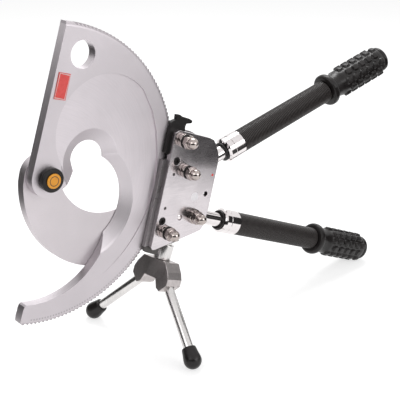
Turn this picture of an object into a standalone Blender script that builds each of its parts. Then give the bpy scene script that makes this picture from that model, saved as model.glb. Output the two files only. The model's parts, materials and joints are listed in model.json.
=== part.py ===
"""Ratchet cable cutter: a toothed hook blade that closes over a fixed blade, two telescoping handles
and a two-legged stand. Sizes are in millimetres until a mesh is made. While the model is laid out,
the blades' pivot is at x = z = 0 and the front face of the moving blade at y = 0; +Z is up and -Y is
the side with the acorn nuts. At the end the whole tool is stood on the origin."""

from math import acos, cos, degrees, pi, radians, sin

import bmesh
import bpy
from mathutils import Matrix, Vector

MM = 0.001  # metres in a millimetre

# Fits
SEAT = 0.3  # gap between pieces that rest on each other or slide in each other
RUN = 0.5  # gap beside a piece that turns between two others

# Moving blade
TIP_RADIUS = 152.4  # pivot to the tips of the ratchet teeth
TOOTH_DEPTH = 2.5
TEETH = 104
TEETH_FROM = -104.4  # degrees about the pivot, at the hook's end
TEETH_TO = 76.0
TOOTH_STEEPNESS = 0.12  # share of the pitch that the steep face takes
TOP_CORNER = 79.2
HOOK_CORNER = -104.8
BLADE_THICKNESS = 11.0
BOSS_RADIUS = 19.5
JAW_CENTRE = (38.7, -34.3)
JAW_RADIUS = 50.1  # the jaw takes a cable of 100 mm
THROAT_CENTRE = (49.7, 8.1)
THROAT_RADIUS = 18.8
HOOK_CENTRE = (-13.0, -41.9)
HOOK_INSIDE_TIPS = 65.6  # how much smaller the hook's inner radius is than the tips'
LIP = [(25.0, -8.0), (33.3, -1.9), (32.9, 2.4)]
KINK = (70.2, 4.5)
# The hook's blunt end: how far each corner lies inside the tooth tips, and its angle in degrees
HOOK_TIP = [(20.2, -106.0), (16.6, -106.4), (13.3, -106.4), (8.0, -106.6), (2.6, -106.4)]
LIFTING_HOLE_INSIDE = 28.1  # from the tooth tips to its middle
LIFTING_HOLE_ANGLE = 68.97
LIFTING_HOLE_RADIUS = 14.0
LABEL_CORNERS = [(-27.7, -12.9), (-35.2, -37.8), (-22.7, -41.4), (-15.1, -16.7)]  # from that hole
EDGE_LAND = 0.6  # flat left behind the ground bevel
BEVEL_FLARE = 11.3  # how much wider the jaw's bevel is where it meets the recess
THROAT_BEVEL_FLARE = 13.8
BEVEL_FROM_X = 50.0
RECESS_DEPTH = 2.0
RECESS_ANGLE = 26.9  # where its circle touches the unrecessed band
RECESS_RADIUS = 58.8
RECESS_CIRCLE_BAND = 17.35
RECESS_BAND = 21.0  # width of the unrecessed band along the teeth
RECESS_LEVEL_TO = -30.0  # below this height the recess runs out
RECESS_RUNS_OUT = -124.0
TOOTH_CHAMFER = 4.2  # width on the face
TOOTH_CHAMFER_DEPTH = 1.5

# Fixed blade
FIXED_THICKNESS = 10.4
FIXED_HEAD_RADIUS = 21.1
FIXED_BACK_CENTRE = (77.5, -14.0)
FIXED_BACK_RADIUS = 100.6
FIXED_EDGE_CENTRE = (76.7, 4.2)
FIXED_EDGE_RADIUS = 60.4
FIXED_BEVEL_FLARE = 11.0

# Pivot
PIVOT_RADIUS = 6.0
PIVOT_NUT_RADIUS = 12.2
PIVOT_NUT_HEIGHT = 7.4
PIVOT_NUT_ROUNDING = 1.6
PIVOT_HEAD_FLATS = 22.0
PIVOT_HEAD_HEIGHT = 6.0
CAP_RADIUS = 7.6
CAP_HEIGHT = 1.3

# Side plates
GUIDE_THICKNESS = 4.7
FRONT_PLATE_THICKNESS = 5.8
REAR_PLATE_THICKNESS = 5.5

# Bolts through the plates: how far each axis lies outside the tooth tips, and its angle in degrees
RELEASE_BOLT_OUT, RELEASE_BOLT_ANGLE = 4.4, 3.95
LEVER_BOLT_OUT, LEVER_BOLT_ANGLE = 9.0, -8.59
ROOT_BOLT_OUT, ROOT_BOLT_ANGLE = 34.45, -24.74
TAIL_BOLT_OUT, TAIL_BOLT_ANGLE = 4.44, -33.43
BOLT_RADIUS = 3.5
LEVER_BOLT_RADIUS = 4.0
BOLT_HEAD_FLATS = 13.0
BOLT_HEAD_HEIGHT = 5.0
COLLAR_RADIUS = 7.25
COLLAR_HEIGHT = 4.5
HEX_COLLAR_FLATS = 14.5
WASHER_RADIUS = 7.6
WASHER_HEIGHT = 2.0
ACORN_FLATS = 13.0
ACORN_HEX_HEIGHT = 7.0
ACORN_DOME_RADIUS = 6.1
ACORN_HEIGHT = 15.2
ACORN_WALL = 4.0
SPACER_WALL = 2.2
SCREW_RADIUS = 2.0
SCREW_HEAD_RADIUS = 4.2
SCREW_HEAD_DEPTH = 2.6
SCREW_HEAD_SUNK = 0.4
DOWEL_RADIUS = 1.4
ROOT_PIN_RADIUS = 3.0
SPARE_HOLE_RADIUS = 3.0

# Lever, pawls and springs
PAWL_PIN_REACH = 22.0  # from the lever's bolt
PAWL_PIN_ANGLE = -50.0
PAWL_PIN_RADIUS = 3.0
PAWL_HUB_RADIUS = 6.5
PAWL_NOSE_RADIUS = 1.5
PAWL_NOSE_ANGLE = -21.7  # about the blades' pivot
PAWL_CLEARANCE = 0.6  # the nose rides this far outside the tooth tips
LEVER_HUB_RADIUS = 9.0
RELEASE_HUB_RADIUS = 8.2
# The release lever's thin front layer, from its bolt: the thumb tab, and the finger before the rim
RELEASE_TAB = [(-3.4, 21.6), (-2.6, 26.8), (1.5, 25.9), (4.5, 23.3), (13.9, 19.3), (17.9, 16.4),
               (16.6, 13.9), (9.8, 14.6), (8.2, 12.0)]
RELEASE_FINGER = [(-6.5, -14.9), (-15.9, -14.9), (-19.2, -11.5), (-17.1, -3.1), (-14.3, 7.3),
                  (-12.3, 12.3), (-10.2, 16.2), (-10.8, 19.6), (-7.5, 21.1)]
SOCKET_HALF_WIDTH = 10.5
SOCKET_LENGTH = 15.5
SOCKET_ROUNDING = 0.8
SPRING_WIRE_RADIUS = 0.55
SPRING_TURNS = 3

# Handles: each is laid out along its own axis, from the outer face of its wiper ring
UPPER_FROM_LEVER_BOLT = (66.41, 2.01)
UPPER_ANGLE = 14.9
UPPER_SHOULDER = -20.9  # where the rod meets its socket
LOWER_FROM_ROOT_BOLT = (50.7, -23.5)
LOWER_ANGLE = -22.7
LOWER_SHOULDER = -38.0
ROD_RADIUS = 8.0
ROD_INSIDE_SLEEVE = 200.0
SPIGOT_RADIUS = 5.0
SPIGOT_LENGTH = 10.0
WIPER_RADIUS = 11.0
WIPER_LENGTH = 2.7
WIPER_ROUNDING = 0.7
TWIST_COLLAR_RADIUS = 14.0
TWIST_COLLAR_LENGTH = 23.6
TWIST_COLLAR_CHAMFER = 1.2
SLEEVE_RADIUS = 13.2
SLEEVE_LENGTH = 141.0
SLEEVE_TAIL_RADIUS = 11.0
SLEEVE_TAIL_LENGTH = 78.0
GRIP_LENGTH = 99.6
GRIP_FLANGE_RADIUS = 19.3
GRIP_FLANGE_LENGTH = 8.0
FLANGE_ROUNDING = 2.4
GRIP_NECK_RADIUS = 14.5
GRIP_BODY_FROM = 22.0
GRIP_BODY_TO = 92.0
GRIP_END_RADIUS = 15.2
GRIP_ROUNDING = 2.5
RIDGE_RADIUS = 17.4
VALLEY_RADIUS = 15.6
RIDGES = 6

# Stand
STAND_TILT = 21.6  # degrees from upright, leaning its feet back under the blades
STAND_SWIVEL = 5.6
STAND_FROM_TAIL_BOLT = (16.0, -24.0)
POST_RADIUS = 7.0
POST_LENGTH = 18.0  # below the bracket
POST_IN_BRACKET = 6.0
STUD_RADIUS = 4.0
STUD_LENGTH = 8.0
HEAD_WIDTH = 22.0
HEAD_SHOULDER = (17.0, 24.0, 27.2)  # half breadths from its top edge to its side
HEAD_DROPS = (9.0, 16.0, 20.5)  # from its top to those shoulders, and to the arch between its lobes
LEG_MEET = 23.6  # where the legs' axes meet, below the post's seat
LEG_SPREAD = 45.0  # degrees each side of the stand's own axis
LEG_FACE = 32.1  # from where the axes meet to the head's faces round the legs
LEG_FACE_HALF = 6.4
LEG_IN_HEAD = 11.0
LEG_RADIUS = 5.6
FOOT_BALL_RADIUS = 9.8
FOOT_SLEEVE_RADIUS = 7.4
FOOT_SLEEVE_TOP = 14.0  # above the ball's centre
FOOT_FLOOR = 3.4  # of rubber under the leg's end, below the ball's centre
# The bracket, from the tail's bolt
BRACKET_LIP = [(-23.4, -14.0), (-22.2, -19.7), (-7.6, -27.4), (-2.1, -20.7), (3.1, -14.0)]
BRACKET_LEFT, BRACKET_RIGHT, BRACKET_BOTTOM = -13.9, 27.1, -21.8
BRACKET_FRONT = -1.0

# Layers, from front to back
BLADE_BACK = BLADE_THICKNESS
GUIDE_BACK = -RUN
GUIDE_FRONT = GUIDE_BACK - GUIDE_THICKNESS
PLATE_BACK = GUIDE_FRONT - SEAT
PLATE_FRONT = PLATE_BACK - FRONT_PLATE_THICKNESS
FIXED_FRONT = BLADE_BACK + SEAT
FIXED_REAR = FIXED_FRONT + FIXED_THICKNESS
REAR_PLATE_FRONT = FIXED_REAR + SEAT
REAR_PLATE_REAR = REAR_PLATE_FRONT + REAR_PLATE_THICKNESS
PAWL_FRONT = RUN
PAWL_REAR = BLADE_BACK - SEAT
HANDLE_Y = (PLATE_BACK + REAR_PLATE_FRONT) / 2


def polar(radius, angle, centre=(0.0, 0.0)):
    """The point of the XZ plane at this radius and angle in degrees about a centre."""
    return (centre[0] + radius * cos(radians(angle)), centre[1] + radius * sin(radians(angle)))


def shifted(point, dx, dz):
    return (point[0] + dx, point[1] + dz)


def arc(centre, radius, start, end, steps):
    """Points on a circle from one angle to another, both included."""
    return [polar(radius, start + (end - start) * i / steps, centre) for i in range(steps + 1)]


HOOK_RADIUS = TIP_RADIUS - HOOK_INSIDE_TIPS
LIFTING_HOLE = polar(TIP_RADIUS - LIFTING_HOLE_INSIDE, LIFTING_HOLE_ANGLE)
RECESS_CENTRE = polar(TIP_RADIUS - RECESS_CIRCLE_BAND - RECESS_RADIUS, RECESS_ANGLE)
RELEASE_BOLT = polar(TIP_RADIUS + RELEASE_BOLT_OUT, RELEASE_BOLT_ANGLE)
LEVER_BOLT = polar(TIP_RADIUS + LEVER_BOLT_OUT, LEVER_BOLT_ANGLE)
ROOT_BOLT = polar(TIP_RADIUS + ROOT_BOLT_OUT, ROOT_BOLT_ANGLE)
TAIL_BOLT = polar(TIP_RADIUS + TAIL_BOLT_OUT, TAIL_BOLT_ANGLE)
ROOT_PIN = shifted(ROOT_BOLT, -18.0, 2.8)
PAWL_PIN = polar(PAWL_PIN_REACH, PAWL_PIN_ANGLE, LEVER_BOLT)
GUIDE_SCREWS = [shifted(LEVER_BOLT, -11.3, 13.3), shifted(TAIL_BOLT, -3.2, 12.5)]
DOWELS = [shifted(LEVER_BOLT, -15.5, -0.5), shifted(TAIL_BOLT, 1.0, 26.3)]
SPARE_HOLE = shifted(ROOT_BOLT, 17.6, 21.4)
UPPER_START = shifted(LEVER_BOLT, *UPPER_FROM_LEVER_BOLT)
LOWER_START = shifted(ROOT_BOLT, *LOWER_FROM_ROOT_BOLT)


# ---------------------------------------------------------------- materials and tree

def finish(name, colour, roughness, metallic=0.0):
    """A Principled material of one colour."""
    material = bpy.data.materials.new(name)
    material.use_nodes = True
    shader = material.node_tree.nodes["Principled BSDF"]
    shader.inputs["Base Color"].default_value = (*colour, 1.0)
    shader.inputs["Roughness"].default_value = roughness
    shader.inputs["Metallic"].default_value = metallic
    return material


def joint_frame(name, parent=None, at=(0.0, 0.0, 0.0), turn=Matrix.Identity(4)):
    """An empty on a joint's axis, placed in its parent's frame."""
    frame = bpy.data.objects.new(name, None)
    frame.empty_display_size = 20 * MM
    bpy.context.scene.collection.objects.link(frame)
    frame.parent = parent
    frame.matrix_basis = Matrix.Translation(Vector(at) * MM) @ turn
    bpy.context.view_layer.update()
    return frame


def make_object(name, bm, parent, material=None, own_axes=False):
    """Turns a bmesh in millimetres into an object whose origin is its parent's. Its points are layout
    points, or points in the parent's own axes."""
    bmesh.ops.remove_doubles(bm, verts=bm.verts, dist=1e-5)
    bmesh.ops.recalc_face_normals(bm, faces=bm.faces)
    bm.transform(Matrix.Scale(MM, 4))
    mesh = bpy.data.meshes.new(name)
    bm.to_mesh(mesh)
    bm.free()
    if not own_axes:
        mesh.transform(parent.matrix_world.inverted())
    mesh.shade_smooth()
    mesh.set_sharp_from_angle(angle=radians(32))
    obj = bpy.data.objects.new(name, mesh)
    bpy.context.scene.collection.objects.link(obj)
    obj.parent = parent
    if material:
        mesh.materials.append(material)
    return obj


def combine(obj, other, operation="DIFFERENCE"):
    """Cuts the other object from obj, or joins it on, and keeps it as a hidden helper."""
    other.hide_render = True
    other.display_type = "WIRE"
    modifier = obj.modifiers.new(other.name, "BOOLEAN")
    modifier.operation = operation
    modifier.solver = "EXACT"
    modifier.object = other


# ---------------------------------------------------------------- shapes

def plate_mesh(outline, front, back, holes=()):
    """A flat plate between two y planes. Each hole is another closed outline."""
    bm = bmesh.new()
    for loop in [outline, *holes]:
        corners = [bm.verts.new((x, front, z)) for x, z in loop]
        for start, end in zip(corners, corners[1:] + corners[:1]):
            bm.edges.new((start, end))
    bmesh.ops.triangle_fill(bm, use_beauty=True, edges=bm.edges[:])
    raised = bmesh.ops.extrude_face_region(bm, geom=bm.faces[:])["geom"]
    moved = [part for part in raised if isinstance(part, bmesh.types.BMVert)]
    bmesh.ops.translate(bm, verts=moved, vec=(0.0, back - front, 0.0))
    return bm


def hole(centre, radius, steps=12):
    """A round outline."""
    return arc(centre, radius, 0.0, 360.0, steps)[:-1]


def ring_radius(radius, flats, angle):
    """Radius of a round ring or, given flats, of a polygon whose flats lie at that radius."""
    if not flats:
        return radius
    share = 2 * pi / flats
    return radius / cos((angle + share / 2) % share - share / 2)


def turned_mesh(profile, axis="Y", centre=(0.0, 0.0), steps=24, closed=False):
    """A shape turned about an axis. The profile lists (place along the axis, radius) and may add a
    number of flats. A closed profile makes a ring. The centre is the axis' place across it."""
    bm = bmesh.new()
    rings = []
    for along, radius, *flats in profile:
        ring = []
        for i in range(steps):
            angle = 2 * pi * i / steps
            reach = ring_radius(radius, flats[0] if flats else 0, angle)
            u, v = centre[0] + reach * sin(angle), centre[1] + reach * cos(angle)
            place = {"X": (along, u, v), "Y": (u, along, v), "Z": (u, v, along)}[axis]
            ring.append(bm.verts.new(place))
        rings.append(ring)
    pairs = list(zip(rings, rings[1:]))
    if closed:
        pairs.append((rings[-1], rings[0]))
    for near, far in pairs:
        for i in range(steps):
            j = (i + 1) % steps
            bm.faces.new((near[i], near[j], far[j], far[i]))
    bmesh.ops.remove_doubles(bm, verts=bm.verts, dist=1e-5)
    bmesh.ops.dissolve_degenerate(bm, dist=1e-6, edges=bm.edges)
    return bm


def rod_profile(start, end, radius, chamfer=0.0):
    outside = [(start, radius), (end, radius)]
    if chamfer:
        outside = [(start, radius - chamfer), (start + chamfer, radius),
                   (end - chamfer, radius), (end, radius - chamfer)]
    return [(start, 0.0), *outside, (end, 0.0)]


def tube_profile(start, end, radius, bore, chamfer=0.0):
    outside = [(start, radius), (end, radius)]
    if chamfer:
        outside = [(start, radius - chamfer), (start + chamfer, radius),
                   (end - chamfer, radius), (end, radius - chamfer)]
    return [(start, bore), *outside, (end, bore)]


def hull(circles, steps=24):
    """The outline of a belt pulled tight round circles given as (centre, radius)."""
    points = sorted(p for centre, radius in circles for p in hole(centre, radius, steps))

    def half(ordered):
        chain = []
        for x, z in ordered:
            while len(chain) > 1:
                (ax, az), (bx, bz) = chain[-2:]
                if (bx - ax) * (z - az) - (bz - az) * (x - ax) > 1e-9:
                    break
                chain.pop()
            chain.append((x, z))
        return chain[:-1]

    return half(points) + half(points[::-1])


def coil_mesh(radius, wire, turns, start, centre, steps=12, sides=5):
    """A close-wound spring about a Y axis: one tube along a helix, with flat ends."""
    pitch = 2 * wire + RUN
    bm = bmesh.new()
    rings = []
    for i in range(turns * steps + 1):
        angle = 2 * pi * i / steps
        along = start + wire + pitch * i / steps
        ring = []
        for k in range(sides):
            phase = 2 * pi * k / sides
            reach = radius + wire * cos(phase)
            ring.append(bm.verts.new((centre[0] + reach * cos(angle), along + wire * sin(phase),
                                      centre[1] + reach * sin(angle))))
        rings.append(ring)
    for near, far in zip(rings, rings[1:]):
        for k in range(sides):
            m = (k + 1) % sides
            bm.faces.new((near[k], near[m], far[m], far[k]))
    bm.faces.new(rings[0])
    bm.faces.new(rings[-1][::-1])
    return bm


# ---------------------------------------------------------------- blades

def moving_blade_outline():
    """Round the boss, up into the throat, along the jaw and the hook, back over the teeth."""
    flank = TOP_CORNER + degrees(acos(BOSS_RADIUS / TIP_RADIUS))
    points = arc((0, 0), BOSS_RADIUS, flank, 310.0, 14)
    points += LIP
    points += arc(THROAT_CENTRE, THROAT_RADIUS, 174.0, -6.0, 16)
    points += [KINK]
    points += arc(JAW_CENTRE, JAW_RADIUS, 48.0, -57.0, 22)
    points += arc(HOOK_CENTRE, HOOK_RADIUS, -25.5, -104.1, 18)
    points += [polar(TIP_RADIUS - inside, angle) for inside, angle in HOOK_TIP]
    points.append(polar(TIP_RADIUS, HOOK_CORNER))
    pitch = (TEETH_TO - TEETH_FROM) / TEETH
    for tooth in range(TEETH):
        low = TEETH_FROM + tooth * pitch
        points.append(polar(TIP_RADIUS - TOOTH_DEPTH, low + TOOTH_STEEPNESS * pitch))
        points.append(polar(TIP_RADIUS, low + pitch))
    points.append(polar(TIP_RADIUS, TOP_CORNER))
    return points


def recess_cutter(parent):
    """The shallow turned recess: level at the top, running out along the hook."""
    band = TIP_RADIUS - RECESS_BAND
    outline = arc(RECESS_CENTRE, RECESS_RADIUS, 230.0, 42.0, 36)
    outline += [polar(band + 3.4, 31.0), polar(band + 2.6, 20.0), polar(band + 1.2, 10.0)]
    outline += arc((0, 0), band, 0.0, -70.0, 26)
    outline += [(30.0, -105.0), (48.0, -60.0), (42.0, -20.0)]
    bm = bmesh.new()
    corners = [bm.verts.new((x, -RECESS_DEPTH, z)) for x, z in outline]
    bm.faces.new(corners)
    bmesh.ops.bisect_plane(bm, geom=bm.verts[:] + bm.edges[:] + bm.faces[:],
                           plane_co=(0, 0, RECESS_LEVEL_TO), plane_no=(0, 0, 1))
    bmesh.ops.triangulate(bm, faces=bm.faces[:])
    raised = bmesh.ops.extrude_face_region(bm, geom=bm.faces[:])["geom"]
    for vert in [part for part in raised if isinstance(part, bmesh.types.BMVert)]:
        share = (vert.co.z - RECESS_RUNS_OUT) / (RECESS_LEVEL_TO - RECESS_RUNS_OUT)
        vert.co.y = RECESS_DEPTH * min(1.0, share)
    return make_object("recess_cutter", bm, parent)


def bevel_cutter(name, parent, centre, radius, flare, front, back, steps, from_x=None):
    """A cone that grinds an edge: its radius is the jaw's at the back, and flares to the front.
    With front behind back it grinds from the other side."""
    slope = flare / (back - front)
    far_front = front - (back - front) * 0.4
    far_back = back + (back - front) * 0.1
    profile = [(far_front, 0.0), (far_front, radius + slope * (back - far_front)),
               (far_back, radius + slope * (back - far_back)), (far_back, 0.0)]
    bm = turned_mesh(profile, centre=centre, steps=steps)
    if from_x is not None:
        plane = bmesh.ops.bisect_plane(bm, geom=bm.verts[:] + bm.edges[:] + bm.faces[:],
                                       plane_co=(from_x, 0, 0), plane_no=(1, 0, 0),
                                       clear_inner=True)
        rim = [part for part in plane["geom_cut"] if isinstance(part, bmesh.types.BMEdge)]
        bmesh.ops.edgeloop_fill(bm, edges=rim)
    return make_object(name, bm, parent)


def add_moving_blade(frame, steel):
    holes = [hole((0, 0), PIVOT_RADIUS + SEAT), hole(LIFTING_HOLE, LIFTING_HOLE_RADIUS, 32)]
    bm = plate_mesh(moving_blade_outline(), 0.0, BLADE_BACK, holes)
    blade = make_object("moving_blade", bm, frame, steel)
    combine(blade, recess_cutter(frame))
    land = BLADE_BACK - EDGE_LAND
    combine(blade, bevel_cutter("throat_bevel_cutter", frame, THROAT_CENTRE, THROAT_RADIUS,
                                THROAT_BEVEL_FLARE, RECESS_DEPTH, land, 48))
    combine(blade, bevel_cutter("jaw_bevel_cutter", frame, JAW_CENTRE, JAW_RADIUS,
                                BEVEL_FLARE, RECESS_DEPTH, land, 96, BEVEL_FROM_X))
    face = TIP_RADIUS - TOOTH_CHAMFER
    slope = TOOTH_CHAMFER / TOOTH_CHAMFER_DEPTH
    margin = 1.0
    chamfer = [(-margin, face - slope * margin), (TOOTH_CHAMFER_DEPTH + margin / 2,
                                                  TIP_RADIUS + slope * margin / 2),
               (-margin, TIP_RADIUS + slope * margin / 2)]
    ring = turned_mesh(chamfer, steps=144, closed=True)
    combine(blade, make_object("tooth_chamfer_cutter", ring, frame))
    return blade


def fixed_tail_edge():
    """The two ends of the tail's bottom edge."""
    return shifted(TAIL_BOLT, -18.0, -17.6), shifted(ROOT_BOLT, -6.7, -18.8)


def fixed_blade_outline():
    """Round the head, down the back, along the tail and up over the concave edge."""
    tail_top = shifted(LEVER_BOLT, -11.6, 10.1)
    tail_step = shifted(ROOT_BOLT, -6.7, 14.2)
    tail_bottom, tail_end = fixed_tail_edge()
    points = arc((0, 0), FIXED_HEAD_RADIUS, -41.0, 168.0, 18)
    points += arc(FIXED_BACK_CENTRE, FIXED_BACK_RADIUS, 174.0, 274.0, 30)
    points += [tail_bottom, tail_end, tail_step]
    points += [(tail_top[0], tail_step[1] + 4.0), tail_top, shifted(tail_top, -14.5, -2.5)]
    points += arc(FIXED_EDGE_CENTRE, FIXED_EDGE_RADIUS, -24.0, -162.0, 30)
    return points


def add_fixed_blade(frame, steel):
    holes = [hole((0, 0), PIVOT_RADIUS + SEAT), hole(TAIL_BOLT, BOLT_RADIUS + SEAT)]
    bm = plate_mesh(fixed_blade_outline(), FIXED_FRONT, FIXED_REAR, holes)
    blade = make_object("fixed_blade", bm, frame, steel)
    combine(blade, bevel_cutter("fixed_bevel_cutter", frame, FIXED_EDGE_CENTRE, FIXED_EDGE_RADIUS,
                                FIXED_BEVEL_FLARE, FIXED_REAR, FIXED_FRONT + EDGE_LAND, 96))
    return blade


def add_pivot(frame, black, steel, yellow):
    nut_back = -SEAT
    nut_front = nut_back - PIVOT_NUT_HEIGHT
    head = FIXED_REAR + SEAT
    bolt = [(nut_front + 1.0, 0.0), (nut_front + 1.0, PIVOT_RADIUS), (head, PIVOT_RADIUS),
            (head, PIVOT_HEAD_FLATS / 2, 6), (head + PIVOT_HEAD_HEIGHT, PIVOT_HEAD_FLATS / 2, 6),
            (head + PIVOT_HEAD_HEIGHT, 0.0)]
    make_object("pivot_bolt", turned_mesh(bolt), frame, steel)
    bore = PIVOT_RADIUS + SEAT
    rim, rounding = PIVOT_NUT_RADIUS, PIVOT_NUT_ROUNDING
    nut = [(nut_back, bore), (nut_back, rim), (nut_front + rounding, rim),
           (nut_front + rounding * 0.3, rim - rounding * 0.3), (nut_front, rim - rounding),
           (nut_front, bore)]
    make_object("pivot_nut", turned_mesh(nut, steps=32, closed=True), frame, black)
    cap_back = nut_front - SEAT
    cap = rod_profile(cap_back - CAP_HEIGHT, cap_back, CAP_RADIUS, 0.4)
    make_object("pivot_cap", turned_mesh(cap, steps=32), frame, yellow)


def add_label(frame, red):
    """A blank label stuck on the moving blade's face."""
    corners = [shifted(LIFTING_HOLE, dx, dz) for dx, dz in LABEL_CORNERS]
    make_object("blade_label", plate_mesh(corners, -SEAT - 0.4, -SEAT), frame, red)


# ---------------------------------------------------------------- plates and fasteners

def side_plate_outline():
    a, b, c, d = RELEASE_BOLT, LEVER_BOLT, ROOT_BOLT, TAIL_BOLT
    return [shifted(a, -9.2, 9.7), shifted(d, -18.4, -13.6), shifted(d, -16.9, -17.0),
            shifted(d, -13.5, -17.6), shifted(c, 2.8, -20.3), shifted(c, 9.9, -19.2),
            shifted(c, 14.1, -15.5), shifted(c, 21.3, 1.7), shifted(b, 45.4, -0.9),
            shifted(b, 46.7, 8.1), shifted(a, 45.5, -13.4), shifted(a, 43.0, -8.6),
            shifted(a, 37.0, -4.9), shifted(a, -3.8, 11.4)]


def bolt_holes():
    small = [hole(bolt, BOLT_RADIUS + SEAT) for bolt in (RELEASE_BOLT, ROOT_BOLT, TAIL_BOLT)]
    return [*small, hole(LEVER_BOLT, LEVER_BOLT_RADIUS + SEAT)]


def add_plates(frame, nickel, steel):
    pins = [hole(point, DOWEL_RADIUS + SEAT) for point in DOWELS]
    screws = [hole(point, SCREW_RADIUS + SEAT) for point in GUIDE_SCREWS]
    root = [hole(ROOT_PIN, ROOT_PIN_RADIUS + SEAT), hole(SPARE_HOLE, SPARE_HOLE_RADIUS)]
    bm = plate_mesh(side_plate_outline(), PLATE_FRONT, PLATE_BACK,
                    bolt_holes() + pins + screws + root)
    front = make_object("front_plate", bm, frame, nickel)
    for number, point in enumerate(GUIDE_SCREWS, 1):
        seat = rod_profile(PLATE_FRONT - 1.0, PLATE_FRONT + SCREW_HEAD_DEPTH + SEAT,
                           SCREW_HEAD_RADIUS + SEAT)
        bm = turned_mesh(seat, centre=point, steps=16)
        combine(front, make_object(f"screw_seat_cutter_{number}", bm, frame))
    bm = plate_mesh(side_plate_outline(), REAR_PLATE_FRONT, REAR_PLATE_REAR, bolt_holes())
    make_object("rear_plate", bm, frame, nickel)
    guide = [shifted(TAIL_BOLT, -23.1, -13.6), shifted(TAIL_BOLT, 10.0, -13.6),
             shifted(LEVER_BOLT, -7.8, 16.0), shifted(LEVER_BOLT, -25.3, 16.0)]
    bm = plate_mesh(guide, GUIDE_FRONT, GUIDE_BACK,
                    [hole(TAIL_BOLT, BOLT_RADIUS + SEAT)] + pins + screws)
    make_object("guide_plate", bm, frame, steel)


def add_small_pins(frame, steel):
    for name, point in zip(("upper", "lower"), GUIDE_SCREWS):
        head = PLATE_FRONT + SCREW_HEAD_SUNK
        screw = [(head, 0.0), (head, SCREW_HEAD_RADIUS),
                 (PLATE_FRONT + SCREW_HEAD_DEPTH, SCREW_HEAD_RADIUS),
                 (PLATE_FRONT + SCREW_HEAD_DEPTH, SCREW_RADIUS),
                 (GUIDE_BACK - SEAT, SCREW_RADIUS), (GUIDE_BACK - SEAT, 0.0)]
        bm = turned_mesh(screw, centre=point, steps=16)
        make_object(f"guide_screw_{name}", bm, frame, steel)
    for name, point in zip(("upper", "lower"), DOWELS):
        dowel = rod_profile(PLATE_FRONT, GUIDE_BACK - SEAT, DOWEL_RADIUS)
        make_object(f"dowel_{name}", turned_mesh(dowel, centre=point, steps=12), frame, steel)
    pin = rod_profile(PLATE_FRONT + 0.5, PAWL_REAR, ROOT_PIN_RADIUS, 0.4)
    make_object("root_pin", turned_mesh(pin, centre=ROOT_PIN, steps=16), frame, steel)


def add_bolt(name, frame, point, radius, collar_flats, washer, finishes):
    """One through bolt with its collar, washer and acorn nut on the front."""
    chrome, black = finishes
    collar_back = PLATE_FRONT - SEAT
    washer_back = collar_back - COLLAR_HEIGHT - SEAT
    nut_back = washer_back - WASHER_HEIGHT - SEAT
    nut_tip = nut_back - ACORN_HEIGHT
    if not washer:
        nut_back = washer_back
        nut_tip = nut_back - ACORN_HEIGHT
    bolt_end = nut_tip + ACORN_WALL
    head = REAR_PLATE_REAR + SEAT
    flat = BOLT_HEAD_FLATS / 2
    bolt = [(bolt_end, 0.0), (bolt_end, radius), (head, radius),
            (head, flat, 6), (head + BOLT_HEAD_HEIGHT, flat, 6), (head + BOLT_HEAD_HEIGHT, 0.0)]
    make_object(f"{name}_bolt", turned_mesh(bolt, centre=point, steps=12), frame, chrome)
    bore = radius + SEAT
    if collar_flats:
        rim, flats = HEX_COLLAR_FLATS / 2, 6
    else:
        rim, flats = COLLAR_RADIUS, 0
    collar = [(collar_back, bore), (collar_back, rim, flats),
              (collar_back - COLLAR_HEIGHT, rim, flats), (collar_back - COLLAR_HEIGHT, bore)]
    bm = turned_mesh(collar, centre=point, closed=True)
    make_object(f"{name}_collar", bm, frame, chrome)
    if washer:
        ring = tube_profile(washer_back - WASHER_HEIGHT, washer_back, WASHER_RADIUS, bore)
        bm = turned_mesh(ring, centre=point, steps=20, closed=True)
        make_object(f"{name}_washer", bm, frame, black)
    flat = ACORN_FLATS / 2
    hex_front = nut_back - ACORN_HEX_HEIGHT
    nut = [(bolt_end - SEAT, 0.0), (bolt_end - SEAT, bore), (nut_back, bore), (nut_back, flat, 6),
           (hex_front, flat, 6), (hex_front, ACORN_DOME_RADIUS)]
    for degree in (25, 50, 72):
        nut.append((hex_front - (hex_front - nut_tip) * sin(radians(degree)),
                    ACORN_DOME_RADIUS * cos(radians(degree))))
    nut.append((nut_tip, 0.0))
    make_object(f"{name}_nut", turned_mesh(nut, centre=point, steps=12), frame, chrome)


def add_bolts(frame, chrome, black):
    finishes = (chrome, black)
    add_bolt("release", frame, RELEASE_BOLT, BOLT_RADIUS, False, True, finishes)
    add_bolt("lever", frame, LEVER_BOLT, LEVER_BOLT_RADIUS, False, True, finishes)
    add_bolt("root", frame, ROOT_BOLT, BOLT_RADIUS, True, False, finishes)
    add_bolt("tail", frame, TAIL_BOLT, BOLT_RADIUS, False, True, finishes)
    bore = LEVER_BOLT_RADIUS + SEAT
    tube = tube_profile(PLATE_BACK + SEAT, FIXED_FRONT - SEAT, bore + SPACER_WALL, bore)
    bm = turned_mesh(tube, centre=LEVER_BOLT, closed=True)
    make_object("lever_spacer", bm, frame, chrome)
    bore = BOLT_RADIUS + SEAT
    tube = tube_profile(BLADE_BACK + SEAT, REAR_PLATE_FRONT - SEAT, bore + SPACER_WALL / 2, bore)
    bm = turned_mesh(tube, centre=RELEASE_BOLT, closed=True)
    make_object("release_spacer", bm, frame, chrome)


# ---------------------------------------------------------------- lever and pawls

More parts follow.
